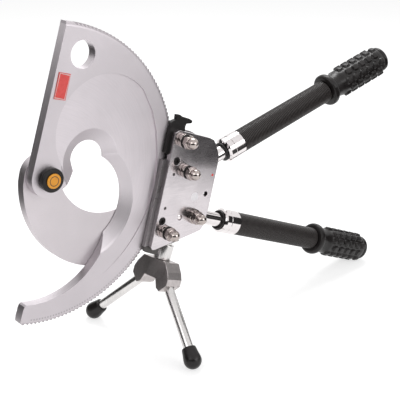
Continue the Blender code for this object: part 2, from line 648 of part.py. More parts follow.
def add_release_lever(frame, black):
    """The holding pawl with its thumb tab, and a finger that guides the blade's rim in front."""
    a = RELEASE_BOLT
    hub = arc(a, RELEASE_HUB_RADIUS, 10.0, -60.0, 5)
    rim = TIP_RADIUS + PAWL_CLEARANCE
    nose = [polar(rim + 2.6, -5.8), polar(rim + 0.3, -4.9), polar(rim, -4.2)]
    edge = [polar(rim + 0.4, -2.0), polar(rim + 0.6, 4.0), polar(rim + 1.6, 7.0), polar(rim + 3.0, 9.6)]
    top = [shifted(a, 0.6, 14.2), shifted(a, 5.0, 10.0)]
    back = BLADE_BACK
    block = plate_mesh((hub + nose + edge + top)[::-1], PLATE_BACK + SEAT, back)
    lever = make_object("release_lever", block, frame, black)
    thin = [shifted(a, dx, dz) for dx, dz in RELEASE_TAB]
    thin += arc(a, RELEASE_HUB_RADIUS, 30.0, -110.0, 8)
    thin += [shifted(a, dx, dz) for dx, dz in RELEASE_FINGER]
    bm = plate_mesh(thin[::-1], PLATE_BACK + SEAT, GUIDE_BACK)
    combine(lever, make_object("tab_and_finger_joined", bm, frame), "UNION")
    bore = rod_profile(PLATE_FRONT, back + RUN, BOLT_RADIUS + SEAT)
    bm = turned_mesh(bore, centre=a, steps=12)
    combine(lever, make_object("release_bore_cutter", bm, frame))
    spring = coil_mesh(BOLT_RADIUS + SEAT + SPACER_WALL / 2 + SEAT + SPRING_WIRE_RADIUS,
                       SPRING_WIRE_RADIUS, SPRING_TURNS, back + SEAT, RELEASE_BOLT)
    return lever, spring


def socket_outline(start, angle, shoulder, length, rounding=0.0):
    """Corners of the block that a handle's rod screws into, square to the handle. With a rounding
    they are the centres of its round edges."""
    along = Vector((cos(radians(angle)), sin(radians(angle))))
    across = Vector((-along.y, along.x)) * (SOCKET_HALF_WIDTH - rounding)
    near = Vector(start) + along * (shoulder - SEAT - rounding)
    far = near - along * (length - 2 * rounding)
    return [tuple(near + across), tuple(far + across), tuple(far - across), tuple(near - across)]


def spigot_bore(name, parent, shoulder):
    profile = rod_profile(shoulder - SPIGOT_LENGTH - 2 * SEAT, shoulder + 5.0, SPIGOT_RADIUS + SEAT)
    bm = turned_mesh(profile, axis="X", steps=20)
    return make_object(name, bm, parent, own_axes=True)


def add_lever(frame, handle, steel):
    """The lever of the upper handle: a plate behind the blade that carries the drive pawl."""
    socket = socket_outline(UPPER_START, UPPER_ANGLE, UPPER_SHOULDER, SOCKET_LENGTH, SOCKET_ROUNDING)
    corners = [(point, SOCKET_ROUNDING) for point in socket]
    hubs = [(LEVER_BOLT, LEVER_HUB_RADIUS), (PAWL_PIN, PAWL_HUB_RADIUS + 1.0)]
    outline = hull(hubs + corners)
    bores = [hole(LEVER_BOLT, LEVER_BOLT_RADIUS + SEAT), hole(PAWL_PIN, PAWL_PIN_RADIUS + SEAT)]
    back = REAR_PLATE_FRONT - SEAT
    bm = plate_mesh(outline, FIXED_FRONT, back, bores)
    lever = make_object("handle_lever", bm, frame, steel)
    bm = plate_mesh(hull(corners), PLATE_BACK + RUN, FIXED_FRONT + 2.0)
    combine(lever, make_object("socket_joined", bm, frame), "UNION")
    combine(lever, spigot_bore("upper_spigot_cutter", handle, UPPER_SHOULDER))
    pin_front = PAWL_FRONT - SEAT
    pin = [(pin_front - 1.2, 0.0), (pin_front - 1.2, PAWL_PIN_RADIUS + 1.6),
           (pin_front, PAWL_PIN_RADIUS + 1.6), (pin_front, PAWL_PIN_RADIUS),
           (back - SEAT, PAWL_PIN_RADIUS), (back - SEAT, 0.0)]
    make_object("pawl_pin", turned_mesh(pin, centre=PAWL_PIN, steps=20), frame, steel)


def add_drive_pawl(frame, steel):
    nose = polar(TIP_RADIUS + PAWL_CLEARANCE + PAWL_NOSE_RADIUS, PAWL_NOSE_ANGLE)
    outline = hull([(PAWL_PIN, PAWL_HUB_RADIUS), (nose, PAWL_NOSE_RADIUS)])
    bm = plate_mesh(outline, PAWL_FRONT, PAWL_REAR, [hole(PAWL_PIN, PAWL_PIN_RADIUS + SEAT)])
    make_object("drive_pawl", bm, frame, steel)


def add_handle_root(frame, handle, steel):
    """The fixed root of the lower handle: a block between the plates with a tongue to its pin."""
    c = ROOT_BOLT
    socket = socket_outline(LOWER_START, LOWER_ANGLE, LOWER_SHOULDER, 6.0)
    block = [shifted(c, -6.0, 12.4), shifted(c, -6.0, -13.8), socket[3], socket[0],
             shifted(c, 14.0, 8.4)]
    bores = [hole(c, BOLT_RADIUS + SEAT)]
    bm = plate_mesh(block, PLATE_BACK + SEAT, REAR_PLATE_FRONT - SEAT, bores)
    root = make_object("handle_root", bm, frame, steel)
    pin = ROOT_PIN
    tongue = [shifted(pin, -7.0, 8.6), shifted(pin, -5.0, -9.0), shifted(pin, 14.0, -12.0),
              shifted(pin, 14.0, 8.6)]
    bores = [hole(pin, ROOT_PIN_RADIUS + SEAT, 16)]
    bm = plate_mesh(tongue, PAWL_FRONT, FIXED_FRONT - SEAT, bores)
    combine(root, make_object("tongue_joined", bm, frame), "UNION")
    combine(root, spigot_bore("lower_spigot_cutter", handle, LOWER_SHOULDER))


# ---------------------------------------------------------------- handles

SLEEVE_FROM = WIPER_LENGTH + TWIST_COLLAR_LENGTH + 2 * SEAT
GRIP_FROM = SLEEVE_FROM + SLEEVE_LENGTH + SEAT
BORE = ROD_RADIUS + SEAT


def add_rod(name, frame, shoulder, material):
    """The inner rod: its spigot in the socket, its far end inside the sleeve."""
    profile = [(shoulder - SPIGOT_LENGTH, 0.0), (shoulder - SPIGOT_LENGTH, SPIGOT_RADIUS),
               (shoulder, SPIGOT_RADIUS), (shoulder, ROD_RADIUS),
               (ROD_INSIDE_SLEEVE, ROD_RADIUS), (ROD_INSIDE_SLEEVE, 0.0)]
    make_object(name, turned_mesh(profile, axis="X", steps=20), frame, material, own_axes=True)


def add_sliding_tube(side, frame, finishes):
    """The wiper ring, the sleeve with its long tail inside the grip, and the grip."""
    black_paint, rubber = finishes
    ring = tube_profile(0.0, WIPER_LENGTH, WIPER_RADIUS, BORE, WIPER_ROUNDING)
    bm = turned_mesh(ring, axis="X", steps=20, closed=True)
    make_object(f"{side}_wiper_ring", bm, frame, rubber, own_axes=True)
    sleeve_end = SLEEVE_FROM + SLEEVE_LENGTH
    tail_end = sleeve_end + SLEEVE_TAIL_LENGTH
    sleeve = [(SLEEVE_FROM, BORE), (SLEEVE_FROM, SLEEVE_RADIUS), (sleeve_end, SLEEVE_RADIUS),
              (sleeve_end, SLEEVE_TAIL_RADIUS), (tail_end, SLEEVE_TAIL_RADIUS), (tail_end, BORE)]
    bm = turned_mesh(sleeve, axis="X", steps=24, closed=True)
    make_object(f"{side}_sleeve", bm, frame, black_paint, own_axes=True)
    make_object(f"{side}_grip", grip_mesh(tail_end), frame, rubber, own_axes=True)


def grip_mesh(tail_end):
    """A rubber grip: a thick flange, a waist, a ridged body and a smooth end."""
    bore = SLEEVE_TAIL_RADIUS + SEAT
    start = GRIP_FROM
    end = GRIP_FROM + GRIP_LENGTH
    flange_end = start + GRIP_FLANGE_LENGTH
    profile = [(tail_end + SEAT, 0.0), (tail_end + SEAT, bore), (start, bore),
               (start, GRIP_FLANGE_RADIUS - FLANGE_ROUNDING),
               (start + FLANGE_ROUNDING, GRIP_FLANGE_RADIUS),
               (flange_end - FLANGE_ROUNDING, GRIP_FLANGE_RADIUS),
               (flange_end, GRIP_FLANGE_RADIUS - FLANGE_ROUNDING), (flange_end, GRIP_NECK_RADIUS)]
    pitch = (GRIP_BODY_TO - GRIP_BODY_FROM) / RIDGES
    for ridge in range(RIDGES):
        low = start + GRIP_BODY_FROM + ridge * pitch
        profile += [(low, VALLEY_RADIUS), (low + 0.2 * pitch, RIDGE_RADIUS),
                    (low + 0.7 * pitch, RIDGE_RADIUS)]
    profile += [(start + GRIP_BODY_TO, GRIP_END_RADIUS), (end - GRIP_ROUNDING, GRIP_END_RADIUS),
                (end, GRIP_END_RADIUS - GRIP_ROUNDING), (end, 0.0)]
    return turned_mesh(profile, axis="X", steps=20)


def add_twist_collar(side, frame, chrome):
    start = WIPER_LENGTH + SEAT
    end = start + TWIST_COLLAR_LENGTH
    collar = tube_profile(start, end, TWIST_COLLAR_RADIUS, BORE, TWIST_COLLAR_CHAMFER)
    bm = turned_mesh(collar, axis="X", steps=24, closed=True)
    make_object(f"{side}_twist_collar", bm, frame, chrome, own_axes=True)


# ---------------------------------------------------------------- stand

def add_bracket(frame, stand, dark):
    """A block under the blade's tail that holds the post, with a lip in front of the blade's rim."""
    tail_left, tail_right = fixed_tail_edge()
    slope = (tail_right[1] - tail_left[1]) / (tail_right[0] - tail_left[0])
    bottom = [shifted(TAIL_BOLT, dx, BRACKET_BOTTOM) for dx in (BRACKET_LEFT, BRACKET_RIGHT)]
    top = [(x, tail_left[1] + slope * (x - tail_left[0]) - SEAT - 0.1) for x, z in bottom]
    block = [top[0], *bottom, top[1]]
    bm = plate_mesh(block, BRACKET_FRONT, REAR_PLATE_FRONT - SEAT)
    bracket = make_object("stand_bracket", bm, frame, dark)
    lip = [shifted(TAIL_BOLT, dx, dz) for dx, dz in BRACKET_LIP]
    bm = plate_mesh(lip, PLATE_BACK + SEAT, GUIDE_BACK)
    combine(bracket, make_object("bracket_lip_joined", bm, frame), "UNION")
    bore = rod_profile(-POST_LENGTH, POST_IN_BRACKET + SEAT, POST_RADIUS + SEAT)
    bm = turned_mesh(bore, axis="Z", steps=20)
    combine(bracket, make_object("post_seat_cutter", bm, stand, own_axes=True))


def grip_floor():
    """The height on which the lower grip's end rests."""
    along = GRIP_FROM + GRIP_LENGTH - GRIP_ROUNDING
    turn = radians(LOWER_ANGLE)
    return LOWER_START[1] + along * sin(turn) - GRIP_END_RADIUS * cos(turn)


def leg_reach():
    """From where the legs' axes meet to the middle of a foot's ball that rests on that height."""
    tilt = cos(radians(STAND_TILT))
    meet = TAIL_BOLT[1] + STAND_FROM_TAIL_BOLT[1] - LEG_MEET * tilt
    return (meet - grip_floor() - FOOT_BALL_RADIUS) / (tilt * cos(radians(LEG_SPREAD)))


def add_stand(stand, steel, dark, rubber):
    """The post, the faceted head, two legs and their ball feet, in the stand's own axes: -Z runs
    down the post, and the legs spread along Y."""
    post = [(POST_IN_BRACKET, 0.0), (POST_IN_BRACKET, POST_RADIUS), (-POST_LENGTH, POST_RADIUS),
            (-POST_LENGTH, STUD_RADIUS), (-POST_LENGTH - STUD_LENGTH, STUD_RADIUS),
            (-POST_LENGTH - STUD_LENGTH, 0.0)]
    make_object("stand_post", turned_mesh(post, axis="Z"), stand, steel, own_axes=True)
    head_top = -POST_LENGTH - SEAT
    head = make_object("stand_head", head_mesh(head_top), stand, dark, own_axes=True)
    bore = rod_profile(head_top - STUD_LENGTH - SEAT, head_top + 2.0, STUD_RADIUS + SEAT)
    bm = turned_mesh(bore, axis="Z", steps=16)
    combine(head, make_object("stud_bore_cutter", bm, stand, own_axes=True))
    ball = -leg_reach()
    leg_top = LEG_IN_HEAD - LEG_FACE
    for side, name in ((-1, "near"), (1, "far")):
        spread = Matrix.Rotation(radians(side * LEG_SPREAD), 4, "X")
        leg_frame = joint_frame(f"{name}_leg_axis", stand, (0.0, 0.0, -LEG_MEET), spread)
        leg = rod_profile(ball - FOOT_FLOOR, leg_top, LEG_RADIUS)
        bm = turned_mesh(leg, axis="Z", steps=20)
        make_object(f"{name}_leg", bm, leg_frame, steel, own_axes=True)
        bore = rod_profile(ball, leg_top + SEAT, LEG_RADIUS + SEAT)
        bm = turned_mesh(bore, axis="Z", steps=20)
        combine(head, make_object(f"{name}_leg_cutter", bm, leg_frame, own_axes=True))
        bm = turned_mesh(foot_profile(ball), axis="Z", steps=20)
        make_object(f"{name}_foot", bm, leg_frame, rubber, own_axes=True)


def head_mesh(top):
    """The head, a bar across the tool whose two lobes end square to the legs."""
    narrow, middle, wide = HEAD_SHOULDER
    first, second, arch = HEAD_DROPS
    lean = radians(LEG_SPREAD)
    face_y, face_z = LEG_FACE * sin(lean), -LEG_MEET - LEG_FACE * cos(lean)
    across, down = LEG_FACE_HALF * cos(lean), LEG_FACE_HALF * sin(lean)
    half = [(narrow, top), (middle, top - first), (wide, top - second),
            (face_y + across, face_z + down), (face_y - across, face_z - down),
            (narrow * 0.75, face_z - down * 0.4), (narrow * 0.5, top - arch)]
    side = half + [(-y, z) for y, z in half[::-1]]
    bm = plate_mesh(side, -HEAD_WIDTH / 2, HEAD_WIDTH / 2)
    bmesh.ops.rotate(bm, verts=bm.verts, matrix=Matrix.Rotation(radians(90), 3, "Z"))
    return bm


def foot_profile(ball):
    """A rubber foot: a sleeve up the leg that swells into a ball."""
    bore = LEG_RADIUS + SEAT
    bottom = ball - FOOT_FLOOR - SEAT
    top = ball + FOOT_SLEEVE_TOP
    profile = [(bottom, 0.0), (bottom, bore), (top, bore), (top, FOOT_SLEEVE_RADIUS)]
    for degree in (42, 20, 0, -22, -45, -68):
        profile.append((ball + FOOT_BALL_RADIUS * sin(radians(degree)),
                        FOOT_BALL_RADIUS * cos(radians(degree))))
    profile.append((ball - FOOT_BALL_RADIUS, 0.0))
    return profile


# ---------------------------------------------------------------- the whole tool

def stand_on_origin(root):
    """Moves the tool so that the middle of its underside is the origin."""
    bpy.context.view_layer.update()
    graph = bpy.context.evaluated_depsgraph_get()
    points = []
    for obj in bpy.context.scene.objects:
        if obj.type != "MESH" or obj.hide_render:
            continue
        shape = obj.evaluated_get(graph)
        points += [shape.matrix_world @ vert.co for vert in shape.data.vertices]
    low = [min(point[axis] for point in points) for axis in range(3)]
    high = [max(point[axis] for point in points) for axis in range(3)]
    root.location = (-(low[0] + high[0]) / 2, -(low[1] + high[1]) / 2, -low[2])
    bpy.context.view_layer.update()


def handle_turn(angle):
    """Turns the X axis up by an angle in the XZ plane."""
    return Matrix.Rotation(radians(-angle), 4, "Y")


def main():
    for obj in list(bpy.data.objects):
        bpy.data.objects.remove(obj)
    blade_steel = finish("blade_steel", (0.56, 0.55, 0.56), 0.36, 1.0)
    nickel = finish("nickel", (0.66, 0.65, 0.63), 0.2, 1.0)
    chrome = finish("chrome", (0.75, 0.75, 0.76), 0.12, 1.0)
    dark_steel = finish("dark_steel", (0.1, 0.1, 0.1), 0.45, 1.0)
    leg_steel = finish("leg_steel", (0.62, 0.61, 0.6), 0.28, 1.0)
    black = finish("black_oxide", (0.02, 0.02, 0.02), 0.45, 0.3)
    black_paint = finish("black_paint", (0.015, 0.015, 0.016), 0.4)
    rubber = finish("black_rubber", (0.012, 0.012, 0.012), 0.6)
    yellow = finish("yellow_cap", (0.9, 0.45, 0.03), 0.4)
    red = finish("red_label", (0.75, 0.06, 0.04), 0.5)

    cutter = joint_frame("cutter")
    blade_joint = joint_frame("blade_joint", cutter)
    lever_joint = joint_frame("lever_joint", cutter, (LEVER_BOLT[0], 0, LEVER_BOLT[1]))
    pin_place = (PAWL_PIN[0] - LEVER_BOLT[0], 0, PAWL_PIN[1] - LEVER_BOLT[1])
    pawl_joint = joint_frame("pawl_joint", lever_joint, pin_place)
    release_joint = joint_frame("release_joint", cutter, (RELEASE_BOLT[0], 0, RELEASE_BOLT[1]))
    upper_start = (UPPER_START[0] - LEVER_BOLT[0], HANDLE_Y, UPPER_START[1] - LEVER_BOLT[1])
    upper_axis = joint_frame("upper_axis", lever_joint, upper_start, handle_turn(UPPER_ANGLE))
    lower_start = (LOWER_START[0], HANDLE_Y, LOWER_START[1])
    lower_axis = joint_frame("lower_axis", cutter, lower_start, handle_turn(LOWER_ANGLE))
    swivel = Matrix.Rotation(radians(STAND_SWIVEL), 4, "Z")
    stand_turn = swivel @ Matrix.Rotation(radians(STAND_TILT), 4, "Y")
    stand_at = shifted(TAIL_BOLT, *STAND_FROM_TAIL_BOLT)
    stand_place = (stand_at[0], HANDLE_Y, stand_at[1])
    stand_axis = joint_frame("stand_axis", cutter, stand_place, stand_turn)

    add_moving_blade(blade_joint, blade_steel)
    add_label(blade_joint, red)
    add_fixed_blade(cutter, blade_steel)
    add_pivot(cutter, black, blade_steel, yellow)
    add_plates(cutter, nickel, blade_steel)
    add_small_pins(cutter, blade_steel)
    add_bolts(cutter, chrome, black)
    spring = add_release_lever(release_joint, black)[1]
    make_object("release_spring", spring, cutter, blade_steel)
    add_lever(lever_joint, upper_axis, dark_steel)
    add_drive_pawl(pawl_joint, dark_steel)
    add_handle_root(cutter, lower_axis, dark_steel)
    add_rod("upper_rod", upper_axis, UPPER_SHOULDER, chrome)
    add_rod("lower_rod", lower_axis, LOWER_SHOULDER, chrome)
    for side, frame in (("upper", upper_axis), ("lower", lower_axis)):
        add_sliding_tube(side, frame, (black_paint, rubber))
        add_twist_collar(side, frame, chrome)
    add_bracket(cutter, stand_axis, dark_steel)
    add_stand(stand_axis, leg_steel, dark_steel, rubber)
    stand_on_origin(cutter)


main()
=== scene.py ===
# %% [markdown]
# # Ratchet cable cutter on its stand
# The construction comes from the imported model: every solid, joint and axis is already in place.
# This notebook only dresses it. A cell that starts a step says what the piece is on the real tool,
# how it could be made, and why this way was chosen. Lengths are in millimetres until a mesh is made.

# %% Load the frame
import json
from math import atan2, cos, pi, radians, sin

import bmesh
import bpy
import numpy as np
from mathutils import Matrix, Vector


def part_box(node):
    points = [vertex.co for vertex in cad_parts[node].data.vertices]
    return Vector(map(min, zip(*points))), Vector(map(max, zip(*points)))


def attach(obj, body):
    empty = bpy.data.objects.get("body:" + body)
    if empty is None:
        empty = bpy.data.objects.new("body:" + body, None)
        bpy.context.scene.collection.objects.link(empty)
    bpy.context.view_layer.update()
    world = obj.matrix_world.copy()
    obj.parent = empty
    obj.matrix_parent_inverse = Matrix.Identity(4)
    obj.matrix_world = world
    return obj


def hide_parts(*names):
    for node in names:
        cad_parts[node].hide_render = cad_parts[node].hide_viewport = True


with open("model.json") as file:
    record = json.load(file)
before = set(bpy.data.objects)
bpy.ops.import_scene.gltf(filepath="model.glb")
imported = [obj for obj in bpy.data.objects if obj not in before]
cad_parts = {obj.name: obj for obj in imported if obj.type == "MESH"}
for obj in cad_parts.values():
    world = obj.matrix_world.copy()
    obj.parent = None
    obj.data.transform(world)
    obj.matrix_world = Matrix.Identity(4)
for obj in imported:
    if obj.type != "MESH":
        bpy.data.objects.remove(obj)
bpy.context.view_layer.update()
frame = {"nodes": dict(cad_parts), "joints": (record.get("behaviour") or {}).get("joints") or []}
MM = 0.001  # metres in a millimetre
JOINTS = {joint["name"]: joint for joint in frame["joints"]}
PIVOT = Vector(JOINTS["blade_hinge"]["pos_m"])
FACE_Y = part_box("moving_blade")[0][1]  # the moving blade's front face

# %% [markdown]
# ## Places
# The tool was laid out from the blades' pivot, with the moving blade's front face at y = 0. Using the
# same origin here means that a place read off a drawing of the tool can be written as it is.

# %% Places from the frame


def place(x, y, z):
    """A layout point in millimetres, as a world point in metres."""
    return Vector((PIVOT.x + x * MM, FACE_Y + y * MM, PIVOT.z + z * MM))


def middle(node):
    """The middle of a node's box."""
    low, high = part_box(node)
    return (Vector(low) + Vector(high)) / 2


def depth(y):
    """A world y as a layout y in millimetres."""
    return (y - FACE_Y) / MM


def depths(node):
    """The layout y of a node's front and back, in millimetres."""
    low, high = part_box(node)
    return depth(low[1]), depth(high[1])


def radius_of(node, side=0):
    """Half of a node's width along X, or along Z where side is 2, in millimetres."""
    low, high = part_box(node)
    return (high[side] - low[side]) / 2 / MM


def axis_of(node):
    """The middle and the direction of a long round piece, from its own mesh."""
    points = np.array([vert.co for vert in frame["nodes"][node].data.vertices])
    centre = points.mean(axis=0)
    along = np.linalg.svd(points - centre)[2][0]
    reach = (points - centre) @ along
    return Vector(centre), Vector(along), reach.min() / MM, reach.max() / MM


PLATE_FRONT = depths("front_plate")[0]
PLATE_REAR = depths("rear_plate")[1]
print("the plates reach from y =", round(PLATE_FRONT, 2), "to", round(PLATE_REAR, 2), "mm")

# %% [markdown]
# ## Camera
# The photograph was taken from the front left and a little above. A 90 mm lens on a 36 mm sensor gives
# its weak perspective: near and far grip differ only a little in size.

# %% The photograph's camera
CAMERA_AT = place(-466.24, -797.51, 326.54)
CAMERA_TO = place(188.8, 0.0, -67.6)
LENS, SENSOR = 90.0, 36.0
camera_data = bpy.data.cameras.new("camera")
camera_data.lens = LENS
camera_data.sensor_width = SENSOR
camera = bpy.data.objects.new("camera", camera_data)
camera.location = CAMERA_AT
camera.rotation_euler = (CAMERA_TO - CAMERA_AT).to_track_quat("-Z", "Y").to_euler()
bpy.context.scene.collection.objects.link(camera)
bpy.context.scene.camera = camera
bpy.context.scene.view_settings.view_transform = "Standard"
print("the camera stands", round((CAMERA_TO - CAMERA_AT).length, 3), "m from the tool")

# %% [markdown]
# ## Shader sums
# A procedural finish is mostly arithmetic on coordinates: how far is this point from the pivot, is it
# inside the recess, which rib does it lie on. Built node by node, that is pages of boilerplate. A small
# class that holds a socket and knows `+ - * / < >` lets the same sums be written as Python expressions,
# and each operation adds its Math node.

# %% A socket that can be calculated with


class Value:
    """A shader socket in a sum."""

    def __init__(self, tree, socket):
        self.tree = tree
        self.socket = socket

    def sum(self, operation, *operands):
        return self.tree.node("ShaderNodeMath", {"operation": operation}, dict(enumerate(operands)))

    def other(self, output):
        """Another output of the same node."""
        return Value(self.tree, self.socket.node.outputs[output])

    def __add__(self, other):
        return self.sum("ADD", self, other)

    def __sub__(self, other):
        return self.sum("SUBTRACT", self, other)

    def __rsub__(self, other):
        return self.sum("SUBTRACT", other, self)

    def __mul__(self, other):
        return self.sum("MULTIPLY", self, other)

    def __truediv__(self, other):
        return self.sum("DIVIDE", self, other)

    def __rtruediv__(self, other):
        return self.sum("DIVIDE", other, self)

    def __gt__(self, other):
        return self.sum("GREATER_THAN", self, other)

    def __lt__(self, other):
        return self.sum("LESS_THAN", self, other)

    __radd__ = __add__
    __rmul__ = __mul__

    def root(self):
        return self.sum("SQRT", self)

    def size(self):
        return self.sum("ABSOLUTE", self)

    def sine(self):
        return self.sum("SINE", self)

    def angle_over(self, other):
        """The angle of a point whose height is this value and whose reach is the other."""
        return self.sum("ARCTAN2", self, other)

    def most(self, other):
        return self.sum("MAXIMUM", self, other)

    def step(self, low, high):
        """0 below low, 1 above high, and smooth between them."""
        return self.tree.node("ShaderNodeMapRange", {"interpolation_type": "SMOOTHSTEP"},
                              {"Value": self, "From Min": low, "From Max": high})


print("sockets can be added, multiplied and compared")

# %% [markdown]
# ## One method for every node
# A node is a type, some settings and some sockets, and a setting such as the kind of mix can change
# which sockets there are. So one method takes the three in that order, and every node in this file
# comes from it, in the tool's finishes as in the studio's.

# %% Node trees


class Tree:
    """A node tree, and the one method that makes its nodes."""

    def __init__(self, tree):
        self.nodes = tree.nodes
        self.links = tree.links

    def node(self, kind, settings=None, inputs=None, output=0):
        """Makes a node: its settings first, then its sockets' values or links."""
        made = self.nodes.new(kind)
        for key, value in (settings or {}).items():
            setattr(made, key, value)
        for key, value in (inputs or {}).items():
            self.fill(made.inputs[key], value)
        return Value(self, made.outputs[output]) if made.outputs else None

    def fill(self, socket, value):
        if isinstance(value, Value):
            self.links.new(value.socket, socket)
        elif isinstance(value, tuple) and len(value) == 3 and socket.type == "RGBA":
            socket.default_value = (*value, 1.0)
        else:
            socket.default_value = value


print("one method makes the nodes")

# %% [markdown]
# ## Finishes
# A finish is a tree with a Principled shader in it, and a few short words for what all of them need:
# the point's place on the tool, a noise, a colour between two others, and a relief. The place comes
# from the object's own coordinates, so a finish doesn't slide when its piece moves.

# %% Finishes


class Finish(Tree):
    """One material: a Principled shader, and the nodes that feed it."""

    def __init__(self, name, **uniform):
        self.material = bpy.data.materials.new(name)
        self.material.use_nodes = True
        super().__init__(self.material.node_tree)
        self.shader = self.nodes["Principled BSDF"]
        for socket, value in uniform.items():
            self.feed(socket.replace("_", " ").title().replace("Ior", "IOR"), value)

    def feed(self, socket, value):
        self.fill(self.shader.inputs[socket], value)

    def point(self):
        """The point's place in the layout, in millimetres, as three values."""
        spot = self.node("ShaderNodeTexCoord", output="Object")
        x = self.node("ShaderNodeSeparateXYZ", inputs={0: spot})
        y, z = x.other(1), x.other(2)
        return (x - PIVOT.x) / MM, (y - FACE_Y) / MM, (z - PIVOT.z) / MM

    def vector(self, x, y, z):
        return self.node("ShaderNodeCombineXYZ", inputs={0: x, 1: y, 2: z})

    def noise(self, vector, scale=1.0, detail=2.0, roughness=0.5):
        return self.node("ShaderNodeTexNoise", inputs={"Vector": vector, "Scale": scale,
                                                       "Detail": detail, "Roughness": roughness})

    def blend(self, share, first, second):
        """A colour between two others."""
        return self.node("ShaderNodeMix", {"data_type": "RGBA"}, {0: share, 6: first, 7: second}, 2)

    def bump(self, height, distance, strength):
        """A relief: height is 0 to 1, and distance says how many millimetres 1 is."""
        self.feed("Normal", self.node("ShaderNodeBump", inputs={
            "Height": height, "Distance": distance * MM, "Strength": strength}))


print("finishes can be mixed")

# %% [markdown]
# ## Blade steel
# Both blades are ground flat and then turned: the recess carries fine arcs about the pivot, and the
# flat rim has a plainer satin. A noise that is stretched along the arc draws such marks. Its
# coordinates are the distance from the pivot and the angle about it, so the marks bend with the blade.
# Painted shade goes on top: the recess is drawn darker than the face, with a darker line on its
# sloping wall, and on the moving blade the teeth are drawn darker too.
# Along the hook the tool that cut the teeth chattered, and left a row of short notches at their roots.
# Their relief is a bump, and their dark colour is painted shade.

# %% Steel, turned and ground
CHATTER_RADIUS = 146.6
CHATTER_FROM, CHATTER_TO = -0.55, -1.79  # radians about the pivot
CHATTER_PITCH, CHATTER_FADE = 0.022, 0.02
CHATTER_SLOT = (0.4, 1.3)  # a notch is full up to this far from its radius, and gone at that
RECESS_WALL = (0.3, 1.2)  # the recess's marks fade in over these depths
RECESS_FLOOR = (2.3, 2.6)  # and out below the floor
# painted shade: a darker line is drawn on the recess's sloping wall between these depths
RIM_TOP, RIM_FOOT = (0.15, 0.45), (0.9, 1.5)  # the depths of the shaded line round the recess
TOOTH_ROOT = 149.6
TOOTH_EDGE = 0.3
# painted shade: the colour towards which the teeth and notches are drawn
TOOTH_PAINTED_SHADE = (0.32, 0.295, 0.31)


def turned_steel(name, colour, shade, chatter):
    """Ground steel, arcs and painted shade in its recess; on the moving blade, teeth and notches painted
    darker as shade.
    """
    finish = Finish(name, metallic=1.0)
    x, y, z = finish.point()
    radius = (x * x + z * z).root()
    angle = z.angle_over(x)
    arcs = finish.noise(finish.vector(radius * 1.6, angle * 3.0, y * 0.3), 1.0, 4.0, 0.6)
    fine = finish.noise(finish.vector(radius * 9.0, angle * 12.0, y * 2.0), 1.0, 2.0, 0.5)
    clouds = finish.noise(finish.vector(x * 0.02, y * 0.02, z * 0.02), 1.0, 2.0, 0.5)
    inside = y.step(*RECESS_WALL) * (1.0 - y.step(*RECESS_FLOOR))
    tone = arcs * 0.5 * inside + fine * 0.3 + clouds * 0.5
    # painted shade on the sloping wall round the recess, drawn towards the darker colour
    rim = y.step(*RIM_TOP) * (1.0 - y.step(*RIM_FOOT))
    mark = tone.step(0.25, 0.95) * (1.0 - rim * 0.7)
    teeth = radius.step(TOOTH_ROOT - TOOTH_EDGE, TOOTH_ROOT + TOOTH_EDGE)
    # painted shade: the recess is drawn darker than the flat face
    mark = mark * (1.0 - inside * 0.3)
    notch = 0.0
    if chatter:
        band = 1.0 - (radius - CHATTER_RADIUS).size().step(*CHATTER_SLOT)
        begun = angle.step(CHATTER_FROM - CHATTER_FADE, CHATTER_FROM + CHATTER_FADE)
        turns = (1.0 - begun) * (angle > CHATTER_TO)
        wave = (angle * (2 * pi / CHATTER_PITCH)).sine().step(-0.4, 0.4)
        notch = band * turns * wave
        # painted shade in the notches
        mark = mark * (1.0 - notch * 0.8)
    ground = finish.blend(mark, shade, colour)
    if chatter:
        # painted shade on the teeth and in the notches
        ground = finish.blend((teeth + notch).step(0.0, 1.0) * 0.55, ground, TOOTH_PAINTED_SHADE)
    finish.feed("Base Color", ground)
    finish.feed("Roughness", 0.46 - 0.12 * mark)
    finish.bump(fine * 0.4 + arcs * inside - notch, 0.05, 0.5)
    return finish


blade_steel = turned_steel("blade_steel", (0.77, 0.715, 0.75), (0.60, 0.56, 0.585), True)
back_steel = turned_steel("fixed_blade_steel", (0.75, 0.695, 0.725), (0.60, 0.56, 0.58), False)
print("blade steel is ready")

# %% [markdown]
# ## Plate, chrome and bar
# The side plates are polished and nickel plated, so they are nearly mirrors with a warm tint and faint
# polishing streaks. The rods and the handles' collars are brighter chrome, and the nuts a warmer
# plating. The stand's legs are drawn bar, polished along its length, and its head is cast. All are
# metal, so the colour is the reflection's tint, and the rest of the look is in the roughness and in the
# studio around them.

# %% Bright metals


def bright_metal(name, colour, shade, smooth, rough, streak=(0.4, 0.4, 0.4), relief=0.01):
    """A polished metal with streaks: the streak gives how fast it changes along x, y and z."""
    finish = Finish(name, metallic=1.0)
    x, y, z = finish.point()
    streaks = finish.noise(finish.vector(x * streak[0], y * streak[1], z * streak[2]), 1.0, 3.0, 0.6)
    clouds = finish.noise(finish.vector(x * 0.05, y * 0.05, z * 0.05), 1.0, 2.0, 0.5)
    share = (streaks * 0.6 + clouds * 0.5).step(0.3, 0.8)
    finish.feed("Base Color", finish.blend(share, shade, colour))
    finish.feed("Roughness", rough + (smooth - rough) * share)
    finish.bump(streaks, relief, 0.4)
    return finish


